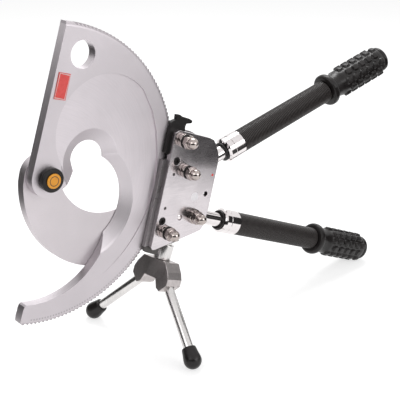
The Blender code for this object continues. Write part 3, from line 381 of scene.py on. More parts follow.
ALL_WAYS = (0.3, 0.3, 0.3)  # a streak that changes as fast along every axis is a mottle
MIRROR = 0.003  # millimetres of relief
nickel = bright_metal("plate_nickel", (0.68, 0.635, 0.655), (0.60, 0.56, 0.58), 0.17, 0.26,
                      (0.06, 0.5, 1.4))
chrome = bright_metal("chrome", (0.82, 0.78, 0.78), (0.74, 0.70, 0.70), 0.04, 0.10, ALL_WAYS, MIRROR)
nut_plating = bright_metal("nut_plating", (0.50, 0.44, 0.415), (0.40, 0.35, 0.33), 0.07, 0.14,
                           ALL_WAYS, MIRROR)
cast_metal = bright_metal("cast_metal", (0.62, 0.575, 0.57), (0.45, 0.415, 0.41), 0.28, 0.42,
                          (0.25, 0.25, 0.25), 0.03)
guide_steel = bright_metal("guide_steel", (0.42, 0.40, 0.405), (0.30, 0.285, 0.29), 0.25, 0.4,
                           (0.1, 0.5, 0.9))
bar_steel = bright_metal("leg_steel", (0.74, 0.72, 0.71), (0.64, 0.62, 0.615), 0.18, 0.28,
                         (0.5, 0.5, 0.05), MIRROR)
bolt_steel = bright_metal("bolt_steel", (0.48, 0.46, 0.45), (0.36, 0.345, 0.34), 0.24, 0.38)
spring_steel = bright_metal("spring_steel", (0.35, 0.33, 0.32), (0.22, 0.21, 0.2), 0.3, 0.45)
print("bright metals are ready")

# %% [markdown]
# ## Dark finishes
# Blackened steel and moulded rubber differ in how they break up light rather than in colour. Oxide is
# a thin skin on metal and wears to steel where it is handled. Rubber isn't a metal at all: it is
# rougher and picks up pale dust in its pores.

# %% Oxide and rubber


def dark_metal(name, colour, worn, share_worn, roughness, metallic):
    """A dark skin on steel, worn through to a paler shade on a share of it."""
    finish = Finish(name, metallic=metallic)
    x, y, z = finish.point()
    grain = finish.noise(finish.vector(x * 0.9, y * 0.9, z * 0.9), 1.0, 4.0, 0.6)
    clouds = finish.noise(finish.vector(x * 0.08, y * 0.08, z * 0.08), 1.0, 3.0, 0.6)
    wear = (clouds * 0.7 + grain * 0.4).step(0.78 - share_worn, 0.98 - share_worn)
    finish.feed("Base Color", finish.blend(wear, colour, worn))
    finish.feed("Roughness", roughness - 0.12 * wear + 0.08 * grain)
    finish.bump(grain, 0.06, 0.5)
    return finish


def rubber_skin(name, colour, dusty):
    """Moulded rubber with pores, and pale dust in them."""
    finish = Finish(name, specular_ior_level=0.34)
    x, y, z = finish.point()
    pores = finish.noise(finish.vector(x, y, z), 1.6, 4.0, 0.6)
    clouds = finish.noise(finish.vector(x, y, z), 0.05, 2.0, 0.5)
    dust = (pores * 0.4 + clouds * 0.7).step(0.45, 0.85)
    finish.feed("Base Color", finish.blend(dust, colour, dusty))
    finish.feed("Roughness", 0.28 + 0.2 * dust)
    finish.bump(pores, 0.05, 0.35)
    return finish


dark_steel = dark_metal("dark_steel", (0.10, 0.094, 0.092), (0.19, 0.18, 0.175), 0.05, 0.42, 0.9)
black_oxide = dark_metal("black_oxide", (0.018, 0.016, 0.016), (0.05, 0.045, 0.043), 0.1, 0.36, 0.5)
rubber = rubber_skin("black_rubber", (0.012, 0.010, 0.010), (0.028, 0.024, 0.024))
print("dark finishes are ready")

# %% [markdown]
# ## Colours
# Three small things carry colour: the disc in the pivot's knob, the label on the blade, and two dots on
# the front plate, a red dot of paint that a fitter leaves on a bolted plate and a round white one. The
# disc and the label are blank. Printed ink and paint are never quite even, so a slow noise moves each
# one between two near shades.

# %% Disc, label and dots


def even_ink(name, colour, faded, roughness):
    """Ink or paint that is nearly even."""
    finish = Finish(name, coat_weight=0.15)
    x, y, z = finish.point()
    clouds = finish.noise(finish.vector(x * 0.3, y * 0.3, z * 0.3), 1.0, 3.0, 0.6)
    finish.feed("Base Color", finish.blend(clouds.step(0.35, 0.75), colour, faded))
    finish.feed("Roughness", roughness + 0.12 * clouds)
    return finish


yellow_ink = even_ink("yellow_disc", (0.86, 0.36, 0.015), (0.80, 0.30, 0.012), 0.3)
dark_ink = even_ink("dark_ring", (0.05, 0.03, 0.02), (0.08, 0.05, 0.03), 0.4)
red_ink = even_ink("red_ink", (0.80, 0.085, 0.075), (0.72, 0.06, 0.055), 0.35)
pale_ink = even_ink("pale_ink", (0.80, 0.66, 0.64), (0.72, 0.58, 0.56), 0.4)
white_dot = even_ink("white_dot", (0.96, 0.93, 0.96), (0.92, 0.89, 0.92), 0.3)
print("coloured inks are ready")

# %% [markdown]
# ## From points to pieces
# A mesh becomes a piece when it has a finish, rides on a body, and says which solid it stands for. Its
# faces are shaded smooth, except across a bend that is sharp enough to be an edge.

# %% Pieces
EDGE_ANGLE = 32  # degrees: a sharper bend than this is an edge


def piece(name, mesh, body, finish, slot, *nodes, sharp=EDGE_ANGLE):
    """Puts a mesh in the scene, on a body, in place of the nodes that it stands for."""
    mesh.materials.append(finish.material)
    mesh.shade_smooth()
    mesh.set_sharp_from_angle(angle=radians(sharp))
    obj = bpy.data.objects.new(name, mesh)
    bpy.context.scene.collection.objects.link(obj)
    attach(obj, body)
    if nodes:
        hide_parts(*nodes)
    return obj


def mesh_of(name, bm):
    bmesh.ops.recalc_face_normals(bm, faces=bm.faces)
    mesh = bpy.data.meshes.new(name)
    bm.to_mesh(mesh)
    bm.free()
    return mesh


print("a bend of more than", EDGE_ANGLE, "degrees is an edge")

# %% [markdown]
# ## Turning a profile
# Most of the small hardware is round, so one helper turns a profile about any axis, as a lathe does. A
# Screw modifier could do it too, but here a profile point may add a number of flats, which makes that
# ring a hexagon, and a limit, which rounds the hexagon's corners as the chamfer on a real nut does.

# %% Turned shapes


def ring_reach(angle, radius, flats=0, limit=None):
    """How far a ring reaches at an angle: round, or a polygon with a limit on its corners."""
    if not flats:
        return radius
    share = 2 * pi / flats
    reach = radius / cos((angle + share / 2) % share - share / 2)
    return min(reach, limit) if limit else reach


def frame_on(axis):
    """Two directions square to an axis. On a Y axis they are X and Z."""
    axis = axis.normalized()
    up = Vector((0, 0, 1)) if abs(axis.z) < 0.9 else Vector((0, 1, 0))
    side = axis.cross(up).normalized()
    return side, side.cross(axis)


def lathe_mesh(name, profile, base, axis, steps=48, closed=False):
    """A turned shape. Its profile lists places along the axis and radii, and may add flats, a limit."""
    side, up = frame_on(axis)
    axis = axis.normalized()
    bm = bmesh.new()
    rings = []
    for along, radius, *corners in profile:
        centre = base + axis * (along * MM)
        if radius <= 0:
            rings.append([bm.verts.new(centre)])
            continue
        ring = []
        for i in range(steps):
            angle = 2 * pi * i / steps
            reach = ring_reach(angle, radius, *corners) * MM
            ring.append(bm.verts.new(centre + (side * sin(angle) + up * cos(angle)) * reach))
        rings.append(ring)
    pairs = list(zip(rings, rings[1:]))
    if closed:
        pairs.append((rings[-1], rings[0]))
    for near, far in pairs:
        if len(near) == 1 and len(far) == 1:
            continue
        for i in range(steps):
            j = (i + 1) % steps
            if len(near) == 1:
                bm.faces.new((near[0], far[j], far[i]))
            elif len(far) == 1:
                bm.faces.new((near[i], near[j], far[0]))
            else:
                bm.faces.new((near[i], near[j], far[j], far[i]))
    return mesh_of(name, bm)


print("a profile can be turned")

# %% Profiles and bolted pieces


def rounded(start, end, radius, rounding, steps=4):
    """A cylinder's profile with round rims."""
    first = [(start + rounding * (1 - cos(a)), radius - rounding * (1 - sin(a)))
             for a in (pi / 2 * i / steps for i in range(steps + 1))]
    last = [(start + end - along, reach) for along, reach in first[::-1]]
    return first + last


Y_AXIS = Vector((0, 1, 0))


def bolted(name, profile, node, body, finish, slot, steps=48, closed=False, replaces=True):
    """Hardware on a Y axis through the middle of a node. Its profile runs along layout y."""
    centre = middle(node)
    base = Vector((centre.x, FACE_Y, centre.z))
    mesh = lathe_mesh(name, profile, base, Y_AXIS, steps, closed)
    return piece(name, mesh, body, finish, slot, *((node,) if replaces else ()))


print("rounded profiles and bolted pieces are ready")

# %% [markdown]
# ## Refined solids
# The plates and blades have the right shape already, as solids. A second helper takes such a solid,
# merges its flat triangles and breaks its edges with a Bevel modifier, because a real plate never has a
# perfectly sharp edge, and that thin highlight is what makes it read as metal. Smooth shading would
# smear the light over the large flats, so their rims are marked sharp first.

# %% Refined solids
FLAT_AREA = 90.0  # a face above this many square millimetres is a flat, and its rim stays crisp
SAME_POINT = 2e-6  # metres
SAME_PLANE = 0.4  # degrees
SLIGHTEST_BEND = 1.0  # degrees
BEVEL_STEPS = 2
FLAT_WEIGHT = 90  # how much the large faces settle the shading of the bevels


def crease_flats(mesh):
    """Keeps the shading of a large flat apart from the narrow faces of a curve beside it."""
    bm = bmesh.new()
    bm.from_mesh(mesh)
    for edge in bm.edges:
        if len(edge.link_faces) == 2 and edge.calc_face_angle(0.0) > radians(SLIGHTEST_BEND):
            if max(face.calc_area() for face in edge.link_faces) > FLAT_AREA * MM * MM:
                edge.smooth = False
    bm.to_mesh(mesh)
    bm.free()


def refined(node, body, finish, slot, width):
    """A solid of the frame with its flat triangles merged and its edges broken."""
    bm = bmesh.new()
    bm.from_mesh(frame["nodes"][node].data)
    bmesh.ops.remove_doubles(bm, verts=bm.verts, dist=SAME_POINT)
    bmesh.ops.dissolve_limit(bm, angle_limit=radians(SAME_PLANE), verts=bm.verts, edges=bm.edges)
    mesh = mesh_of(node, bm)
    made = piece(f"{node}_body", mesh, body, finish, slot, node)
    crease_flats(mesh)
    bevel = made.modifiers.new("broken_edges", "BEVEL")
    bevel.width = width * MM
    bevel.segments = BEVEL_STEPS
    bevel.limit_method = "ANGLE"
    bevel.angle_limit = radians(EDGE_ANGLE)
    bevel.use_clamp_overlap = True
    weigh = made.modifiers.new("flat_shading", "WEIGHTED_NORMAL")
    weigh.keep_sharp = True
    weigh.weight = FLAT_WEIGHT
    return made


print("solids can be refined")

# %% [markdown]
# ## Blades
# The moving blade's outline, teeth, ground edges and recess are in the frame's solid, which is the
# right shape. It only needs smooth shading on its cones and a hairline on its edges, so a refined copy
# of the solid stands for it. The fixed blade is the same case.

# %% Blades
HAIRLINE = 0.25  # millimetres broken off a blade's edges
moving_blade = refined("moving_blade", "blade", blade_steel, "blade_steel", HAIRLINE)
fixed_blade = refined("fixed_blade", "frame", back_steel, "blade_steel", HAIRLINE)
print("blades:", len(moving_blade.data.polygons), "and", len(fixed_blade.data.polygons), "faces")

# %% [markdown]
# ## Side plates, levers and brackets
# These are cut from plate or milled from bar. Each has its own bevel: 0.7 mm on the bright side plates,
# whose broken edge catches the light along their outline, and less on the hidden parts.

# %% Plates and flat pieces
FLAT_PIECES = [
    ("front_plate", "frame", nickel, "nickel", 0.7),
    ("rear_plate", "frame", nickel, "nickel", 0.7),
    ("guide_plate", "frame", guide_steel, "blade_steel", 0.3),
    ("release_lever", "release", black_oxide, "black_oxide", 0.4),
    ("handle_lever", "lever", dark_steel, "dark_steel", 0.4),
    ("drive_pawl", "drive_pawl", dark_steel, "dark_steel", 0.3),
    ("handle_root", "frame", dark_steel, "dark_steel", 0.4),
    ("stand_bracket", "frame", dark_steel, "dark_steel", 0.5),
    ("stand_head", "frame", cast_metal, "dark_steel", 0.9),
]
for node, body, finish, slot, width in FLAT_PIECES:
    refined(node, body, finish, slot, width)
print(len(FLAT_PIECES), "flat pieces are refined")

# %% [markdown]
# ## Nuts, collars and bolts
# Each of the four bolts carries a collar, three of them a black washer, and an acorn nut. The nut is a
# hexagon whose corners are turned off in a cone at both ends, with a polished dome on it. The dome is a
# sphere on a short neck. Turning it in one profile keeps the groove between hexagon and dome, which
# shows in the photograph as a dark line.

# %% The nut's profile
ACORN_FLATS = 13.0
ACORN_CORNER = 14.4  # across the turned-off corners
HEX_SHARE = 0.42  # of the nut's length
DOME_SINK = 2.2  # the dome's middle lies this far before the hexagon
DOME_STEPS = 9


def acorn_profile(tip, back):
    """From the dome's tip to the seat."""
    flat, corner = ACORN_FLATS / 2, ACORN_CORNER / 2
    hex_front = tip + (back - tip) * (1 - HEX_SHARE)
    dome = flat - 0.35
    centre = hex_front - DOME_SINK
    rise = centre - tip
    turns = (pi / 2 * i / DOME_STEPS for i in range(1, DOME_STEPS + 1))
    return [(tip, 0.0), *((centre - rise * cos(a), dome * sin(a)) for a in turns),
            (hex_front - 0.5, dome), (hex_front - 0.1, dome - 0.25), (hex_front, flat - 0.2),
            (hex_front + 0.3, flat, 6, flat + 0.15), (hex_front + 0.8, flat, 6, corner - 0.25),
            (hex_front + 1.2, flat, 6, corner + 0.3), (back - 0.8, flat, 6, corner + 0.3),
            (back - 0.35, flat, 6, corner - 0.1), (back, flat, 6, flat + 0.2), (back, 0.0)]


def collar_profile(low, high, radius, hexagon):
    """A round collar, or one with six flats."""
    if not hexagon:
        return [(low, 0.0), *rounded(low, high, radius, 0.5), (high, 0.0)]
    return [(low, 0.0), (low, radius - 0.5), (low + 0.4, radius, 6, radius * 1.12),
            (high - 0.3, radius, 6, radius * 1.14), (high, radius, 6, radius * 1.1), (high, 0.0)]


def hex_head(under, high, flat, corners, breaks, face):
    """A hexagon head. Its corners are given at the seat, at the middle and at the face."""
    seat, body, rim = corners
    return [(under, 0.0), (under, flat, 6, seat), (under + breaks[0], flat, 6, body),
            (high - breaks[1], flat, 6, body), (high - breaks[0], flat, 6, rim), (high, face),
            (high, 0.0)]


print("an acorn nut is", ACORN_FLATS, "mm across its flats")

# %% Four bolts with their nuts
HEAD_FLAT, HEAD_CORNERS, HEAD_FACE = 6.5, (6.9, 7.4, 6.9), 6.2
WASHER_RADIUS = 7.6
HEAD_GAP = 0.3  # a head's seat clears what it sits on by this much
for bolt in ("release", "lever", "root", "tail"):
    bolted(f"{bolt}_acorn", acorn_profile(*depths(f"{bolt}_nut")), f"{bolt}_nut", "frame", nut_plating,
           "chrome", steps=96)
    low, high = depths(f"{bolt}_collar")
    collar = collar_profile(low, high, radius_of(f"{bolt}_collar", 2), bolt == "root")
    bolted(f"{bolt}_shoulder", collar, f"{bolt}_collar", "frame", nut_plating, "chrome", steps=96)
    if bolt != "root":
        washer = collar_profile(*depths(f"{bolt}_washer"), WASHER_RADIUS, False)
        bolted(f"{bolt}_black_washer", washer, f"{bolt}_washer", "frame", black_oxide, "black_oxide")
    head = hex_head(PLATE_REAR + HEAD_GAP, depths(f"{bolt}_bolt")[1], HEAD_FLAT, HEAD_CORNERS,
                    (0.3, 0.8), HEAD_FACE)
    bolted(f"{bolt}_bolt_head", head, f"{bolt}_bolt", "frame", bolt_steel, "chrome", steps=96)
print("four bolts with their nuts")

# %% [markdown]
# ## Small screws and pins
# The guide plate is held by two socket screws sunk in the front plate, and two dowels place it. The pin
# that locks the lower handle ends in a polished, domed face. Their sockets and chamfers are modelled,
# because they are the dark marks that the eye finds first on the bright plate.

# %% Screws, dowels and the pin
SCREW_HEAD, SCREW_SHANK, SOCKET = 4.1, 2.0, 2.2
DOWEL_RADIUS = 1.4
PIN_RADIUS = 3.0
for side in ("upper", "lower"):
    front, back = depths(f"guide_screw_{side}")
    screw = [(front + 1.7, 0.0), (front + 1.7, SOCKET - 0.2, 6), (front, SOCKET, 6),
             (front, SCREW_HEAD - 0.5), (front + 0.4, SCREW_HEAD), (front + 2.2, SCREW_HEAD),
             (front + 2.2, SCREW_SHANK), (back, SCREW_SHANK), (back, 0.0)]
    bolted(f"guide_socket_screw_{side}", screw, f"guide_screw_{side}", "frame", black_oxide,
           "blade_steel")
    front, back = depths(f"dowel_{side}")
    dowel = [(front + 0.6, 0.0), (front + 0.6, 0.7), (front + 0.1, 1.1), (front + 0.25, DOWEL_RADIUS),
             (back - 0.3, DOWEL_RADIUS), (back, 1.1), (back, 0.0)]
    bolted(f"dowel_pin_{side}", dowel, f"dowel_{side}", "frame", dark_steel, "blade_steel", 32)
front, back = depths("root_pin")
pin = [(front, 0.0), (front + 0.05, 1.6), (front + 0.35, 2.5), (front + 0.9, PIN_RADIUS),
       (back - 0.4, PIN_RADIUS), (back, 2.6), (back, 0.0)]
bolted("root_lock_pin", pin, "root_pin", "frame", chrome, "blade_steel")
print("two screws, two dowels and the pin")

# %% [markdown]
# ## The pivot's knob
# A round black nut clamps the blades, and a coloured disc is pressed into its face. Behind the blades
# the bolt shows a hexagon head. The disc stays blank, with only a dark ring round its edge.

# %% Knob, disc and the pivot's bolt
RING_INNER, RING_OUTER = 4.4, 5.1
PIVOT_FLAT, PIVOT_CORNERS, PIVOT_FACE = 11.0, (11.6, 12.5, 11.4), 10.4
knob_front, knob_back = depths("pivot_nut")
knob_radius = radius_of("pivot_nut")
disc_front, disc_back = depths("pivot_cap")
disc_radius = radius_of("pivot_cap")
knob = [(knob_front, 0.0), (knob_front, disc_radius + 0.4), (knob_front, disc_radius + 1.2)]
knob += rounded(knob_front, knob_back, knob_radius, 1.5, 6)[1:] + [(knob_back, 0.0)]
bolted("pivot_knob", knob, "pivot_nut", "frame", black_oxide, "black_oxide", 96)
disc = [(disc_front, 0.0), (disc_front, disc_radius - 0.9)]
disc += rounded(disc_front, disc_back, disc_radius, 0.5)[1:] + [(disc_back, 0.0)]
bolted("pivot_disc", disc, "pivot_cap", "frame", yellow_ink, "yellow_cap", 96)
ring_front, ring_back = disc_front - 0.06, disc_front + 0.2
ring = [(ring_front, RING_INNER), (ring_front, RING_OUTER), (ring_back, RING_OUTER),
        (ring_back, RING_INNER)]
bolted("pivot_disc_ring", ring, "pivot_cap", "frame", dark_ink, "yellow_cap", 96, True, False)
head = hex_head(depths("fixed_blade")[1] + HEAD_GAP, depths("pivot_bolt")[1], PIVOT_FLAT, PIVOT_CORNERS,
                (0.4, 1.2), PIVOT_FACE)
bolted("pivot_bolt_head", head, "pivot_bolt", "frame", bolt_steel, "blade_steel", 96)
print("the knob is", round(2 * knob_radius, 1), "mm across")

# %% [markdown]
# ## The label
# A printed sheet on the blade: red, with a pale line inside its edge, and blank. The sheet is a plate a
# few tenths thick, made as nested outlines so that the line is a real change of surface.

# %% Label
LABEL = "blade_label"
LINE_FROM, LINE_TO = 0.9, 1.7  # where the pale line starts and ends, from the label's edge
LEAN = (0.7, 0.9)  # the label leans, so a corner moves less than its sides along X and Z
INK = 0.06  # each layer of ink stands this far before the last


def inset(corners, amount):
    """The outline drawn in by an amount, for a four-cornered outline."""
    centre = sum(corners, Vector((0, 0))) / len(corners)
    drawn = []
    for corner in corners:
        away = corner - centre
        drawn.append(centre + Vector((away.x * (1 - amount / abs(away.x) * LEAN[0]),
                                      away.y * (1 - amount / abs(away.y) * LEAN[1]))))
    return drawn


def label_sheet(name, corners, front, back, finish, *nodes):
    bm = bmesh.new()
    lower = [bm.verts.new(place(c.x, back, c.y)) for c in corners]
    upper = [bm.verts.new(place(c.x, front, c.y)) for c in corners]
    bm.faces.new(lower)
    bm.faces.new(upper[::-1])
    for i in range(4):
        j = (i + 1) % 4
        bm.faces.new((lower[i], upper[i], upper[j], lower[j]))
    return piece(name, mesh_of(name, bm), "blade", finish, "red_label", *nodes)


label_points = [vert.co for vert in frame["nodes"][LABEL].data.vertices]
flat_points = {(round((p.x - PIVOT.x) / MM, 2), round((p.z - PIVOT.z) / MM, 2)) for p in label_points}
mid_x, mid_z = (sum(p[i] for p in flat_points) / len(flat_points) for i in (0, 1))
label_corners = [Vector(p) for p in sorted(
    flat_points, key=lambda p: atan2(p[1] - mid_z, p[0] - mid_x))]
label_front, label_back = depths(LABEL)
label_sheet("label_sheet", label_corners, label_front, label_back, red_ink, LABEL)
label_sheet("label_line", inset(label_corners, LINE_FROM), label_front - INK, label_front + 0.1,
            pale_ink)
label_sheet("label_field", inset(label_corners, LINE_TO), label_front - 2 * INK, label_front, red_ink)
print("the label has", len(label_corners), "corners")

# %% [markdown]
# ## Telescoping handles
# Each handle is a polished rod that slides in a ribbed tube. A chrome collar clamps it, and a rubber
# ring wipes the rod. All of it is turned about the handle's own axis, which the frame's joints give.

# %% Handle axes
COLLAR_JOINT_AT = 15.0  # the collar's joint lies this far from the handle's start
HANDLES = {}
for side, body in (("upper", "lever"), ("lower", "frame")):
    joint = JOINTS[f"{side}_collar_twist"]
    axis = Vector(joint["axis"]).normalized()
    HANDLES[side] = (Vector(joint["pos_m"]) - axis * (COLLAR_JOINT_AT * MM), axis, body)
print("handle axes:", {side: [round(v, 3) for v in axis] for side, (_, axis, _) in HANDLES.items()})

# %% [markdown]
# ## Tube paint
# The tubes are painted black and carry fine rings, and the rings' crests are painted a little paler,
# as a painted highlight. A texture would need the rings' pattern again. Here the finish measures how
# far a point lies from the handle's axis, and a point that lies further out than the grooves is on a
# crest.

# %% Tube paint
TUBE_BLACK, TUBE_CREST_HIGHLIGHT = (0.004, 0.003, 0.003), (0.055, 0.046, 0.044)
# painted highlight: between these distances from the axis the crests are drawn paler
CREST = (13.0, 13.25)  # the distances from the axis between which the paint turns pale


def crest_paint(side):
    """Black paint, with a painted highlight where the distance from the handle's axis says it is a
    ring's crest.
    """
    start, axis, _ = HANDLES[side]
    finish = Finish(f"{side}_tube_paint", specular_ior_level=0.34)
    x, y, z = finish.point()
    x0, y0, z0 = (start.x - PIVOT.x) / MM, depth(start.y), (start.z - PIVOT.z) / MM
    dx, dy, dz = x - x0, y - y0, z - z0
    along = dx * axis.x + dy * axis.y + dz * axis.z
    off = (dx * dx + dy * dy + dz * dz - along * along).root()
    grain = finish.noise(finish.vector(x, y, z), 0.5, 3.0, 0.6)
    # painted highlight on the rings' crests
    crest_highlight = (off + grain * 0.2).step(*CREST)
    finish.feed("Base Color", finish.blend(crest_highlight, TUBE_BLACK, TUBE_CREST_HIGHLIGHT))
    finish.feed("Roughness", 0.48 - 0.16 * crest_highlight)
    finish.bump(grain, 0.03, 0.3)
    return finish


tube_paint = {side: crest_paint(side) for side in HANDLES}
print("paint for the", " and ".join(tube_paint), "tube")

# %% [markdown]
# ## Rods, wiper rings and collars
# A telescope is a stack of turned pieces on one axis, so each is a profile whose places are measured
# from where the sliding part starts. The rod rides with its lever or frame, and the ring and the tube
# ride with the slide. The collar has a body of its own, because it twists to clamp.

# %% Sizes along a handle
ROD_RADIUS = 8.0
BORE = ROD_RADIUS + 0.3
ROD_FROM = {"upper": -20.9, "lower": -38.0}
ROD_INSIDE = 200.0
SPIGOT_LENGTH, SPIGOT_RADIUS = 10.0, 5.0
WIPER_LENGTH, WIPER_RADIUS = 2.7, 11.0
COLLAR_FROM, COLLAR_TO = 3.0, 26.6
COLLAR_RADIUS = 14.0
GROOVE_AT, GROOVE_DEPTH = 8.4, 0.35  # from the collar's start
SLEEVE_FROM, SLEEVE_TO = 26.9, 167.9
SLEEVE_RADIUS = 13.2
TAIL_TO, TAIL_RADIUS = 245.9, 11.0
print("a rod is", 2 * ROD_RADIUS, "mm thick and a tube", 2 * SLEEVE_RADIUS, "mm")

# %% Rods, rings and collars


def on_handle(side, name, profile, body, finish, slot, *nodes, steps=72, closed=False, sharp=EDGE_ANGLE):
    start, axis, _ = HANDLES[side]
    mesh = lathe_mesh(name, profile, start, axis, steps, closed)
    return piece(name, mesh, body, finish, slot, *nodes, sharp=sharp)


def closed_tube(outside, start, end):
    """A tube's profile from its outside, with its bore."""
    return [(start, BORE), *outside, (end, BORE)]


def collar_outside():
    """The clamping collar: a lead-in cone, a grip groove and a broken end."""
    start, groove, deep = COLLAR_FROM, COLLAR_FROM + GROOVE_AT, COLLAR_RADIUS - GROOVE_DEPTH
    return [(start, 11.6), (start + 1.0, 12.9), (start + 2.2, COLLAR_RADIUS),
            (groove, COLLAR_RADIUS), (groove + 0.3, deep), (groove + 0.9, deep),
            (groove + 1.2, COLLAR_RADIUS), (COLLAR_TO - 0.7, COLLAR_RADIUS),
            (COLLAR_TO, COLLAR_RADIUS - 0.7)]


for side, (_, _, rod_body) in HANDLES.items():
    shoulder = ROD_FROM[side]
    rod = [(shoulder - SPIGOT_LENGTH, 0.0), (shoulder - SPIGOT_LENGTH, SPIGOT_RADIUS),
           (shoulder, SPIGOT_RADIUS), *rounded(shoulder, ROD_INSIDE, ROD_RADIUS, 0.8),
           (ROD_INSIDE, 0.0)]
    on_handle(side, f"{side}_bar", rod, rod_body, chrome, "chrome", f"{side}_rod")
    wiper = closed_tube(rounded(0.0, WIPER_LENGTH, WIPER_RADIUS, 1.2), 0.0, WIPER_LENGTH)
    on_handle(side, f"{side}_wiper", wiper, f"{side}_tube", rubber, "rubber", f"{side}_wiper_ring",
              closed=True)
    collar = closed_tube(collar_outside(), COLLAR_FROM, COLLAR_TO)
    on_handle(side, f"{side}_clamp_collar", collar, f"{side}_collar", chrome, "chrome",
              f"{side}_twist_collar", steps=96, closed=True)
print("rods, wiper rings and collars")

# %% [markdown]
# ## Ribbed tubes
# Both tubes are cut with fine rings, about two millimetres apart. They could be bump in the material,
# but the rings show in the outline and each one carries its own highlight, so they are geometry, which
# a turned profile gives for nothing.

# %% Sleeves
RING_PITCH = 2.05
RING_DEPTH = 0.75
RING_SHAPE = ((0.0, 0.0), (0.2, 0.72), (0.5, 1.0), (0.8, 0.72))  # shares of the pitch and the depth


def ringed_tube(side):
    """A tube whose profile is a row of small round ribs, with its plain tail inside the grip."""
    profile = [(SLEEVE_FROM, BORE), (SLEEVE_FROM, SLEEVE_RADIUS - 0.8)]
    count = int((SLEEVE_TO - SLEEVE_FROM - 1.0) / RING_PITCH)
    for ring in range(count):
        low = SLEEVE_FROM + 0.5 + ring * RING_PITCH
        for share, height in RING_SHAPE:
            profile.append((low + share * RING_PITCH, SLEEVE_RADIUS - RING_DEPTH * (1 - height)))
    profile += [(SLEEVE_TO, SLEEVE_RADIUS - RING_DEPTH), (SLEEVE_TO, TAIL_RADIUS)]
    profile += [(TAIL_TO, TAIL_RADIUS), (TAIL_TO, BORE)]
    on_handle(side, f"{side}_ringed_tube", profile, f"{side}_tube", tube_paint[side], "black_paint",
              f"{side}_sleeve", steps=64, closed=True, sharp=40)
    return count


for side in HANDLES:
    print("the", side, "tube has", ringed_tube(side), "rings")

# %% [markdown]
# ## Rubber grips
# A grip is one moulding: a thick flange that keeps the hand off the tube, a smooth neck, rows of pads
# that stand in staggered lines round the body, and a plain end with a raised rim. It could be built
# from a tube with a hundred small blocks on it, but moulded pads grow out of the body without a seam.
# A formula for the radius does that: the body's own radius, plus a pad's height where the point lies
# inside a rounded rectangle.

# %% Sizes of a grip
GRIP_FROM, GRIP_TO = 168.2, 267.8
FLANGE_LENGTH, FLANGE_RADIUS = 8.0, 19.3
NECK_RADIUS, NECK_SLOPE = 14.5, (16.0, 26.0)
BODY_RADIUS = 15.9
PAD_TOP = 18.4
PAD_ROWS = 10
PAD_PITCH = 11.8
PAD_FIRST = 28.5  # from the grip's start to the first pad's middle
PADS_TO = 92.0
PAD_COUNT = 6
PAD_LENGTH, PAD_WIDTH = 8.2, 7.5
END_RADIUS, END_SLOPE = 15.2, (88.0, 93.0)
GROOVE_SIDES, END_GROOVE = ((92.5, 93.3), (94.2, 95.0)), 0.9  # before the end's rim, and its depth
END_ROUNDING = 2.6
print("a grip is", round(GRIP_TO - GRIP_FROM, 1), "mm long")

# %% The grip's radius


def smooth(value, low, high):
    share = min(1.0, max(0.0, (value - low) / (high - low)))
    return share * share * (3 - 2 * share)


def pad_height(s, angle):
    """0 off the pads and 1 on top of one."""
    row_share = angle / (2 * pi) * PAD_ROWS
    row = round(row_share)
    across = (row_share - row) / PAD_ROWS * 2 * pi * BODY_RADIUS
    first = PAD_FIRST + (PAD_PITCH / 2 if row % 2 else 0.0)
    number = min(PAD_COUNT - 1, max(0, round((s - first) / PAD_PITCH)))
    if row % 2 and number == PAD_COUNT - 1:
        number -= 1
    along = s - first - number * PAD_PITCH
    far = ((abs(along) / (PAD_LENGTH / 2)) ** 4 + (abs(across) / (PAD_WIDTH / 2)) ** 4) ** 0.25
    return 1.0 - smooth(far, 0.78, 1.1)


def body_radius(s):
    """The grip without its pads, by the distance from its start."""
    length = GRIP_TO - GRIP_FROM
    if s < FLANGE_LENGTH:
        half = FLANGE_LENGTH / 2
        bulge = (1 - min(1.0, abs(s - half) / half) ** 3.2) ** 0.5
        return NECK_RADIUS + (FLANGE_RADIUS - NECK_RADIUS) * (0.25 + 0.75 * bulge)
    radius = NECK_RADIUS + (BODY_RADIUS - NECK_RADIUS) * smooth(s, *NECK_SLOPE)
    radius += (END_RADIUS - BODY_RADIUS) * smooth(s, *END_SLOPE)
    into, out_of = GROOVE_SIDES
    radius -= END_GROOVE * (smooth(s, *into) - smooth(s, *out_of))
    if s > length - END_ROUNDING:
        down = (s - (length - END_ROUNDING)) / END_ROUNDING
        radius -= END_ROUNDING * (1 - (1 - min(1.0, down) ** 2) ** 0.5)
    return radius


def grip_reach(s, angle):
    along = s - GRIP_FROM
    radius = body_radius(along)
    if along < PAD_FIRST - PAD_LENGTH or along > PADS_TO:
        return radius
    return radius + (PAD_TOP - BODY_RADIUS) * pad_height(along, angle)


print("a grip has", PAD_ROWS, "rows of pads up to", PAD_TOP, "mm from its axis")

# %% [markdown]
# ## From the formula to a mesh
# The radius is worked out on rings along the axis, close together where it changes fast. The rings run
# on over the end, into a shallow dish, and back through the bore, so the grip is one closed skin.

# %% Rubber grips
FLANGE_MARKS = [0.0, 0.3, 0.8, 1.6, 2.6, 4.0, 5.4, 6.4, 7.2, 7.7, 8.0, 9.0, 11.0, 14.0, 17.0, 20.0]
PAD_MARKS = (21.5, 0.85)  # the first section of the padded length, and their pitch
END_MARKS = [92.4, 92.8, 93.4, 94.0, 94.5, 95.1, 96.0, 97.0, 97.6, 98.2, 98.8, 99.2, 99.5]
GRIP_STEPS = PAD_ROWS * 14
DISH_RIM, DISH_RADIUS, DISH_DEPTH = 12.4, 11.4, 0.8
GRIP_CLEARANCE = 0.3


def grip_sections():
    at, pitch = PAD_MARKS
    count = int((PADS_TO - at) / pitch) + 1
    marks = FLANGE_MARKS + [at + i * pitch for i in range(count)] + END_MARKS
    return [GRIP_FROM + mark for mark in marks]


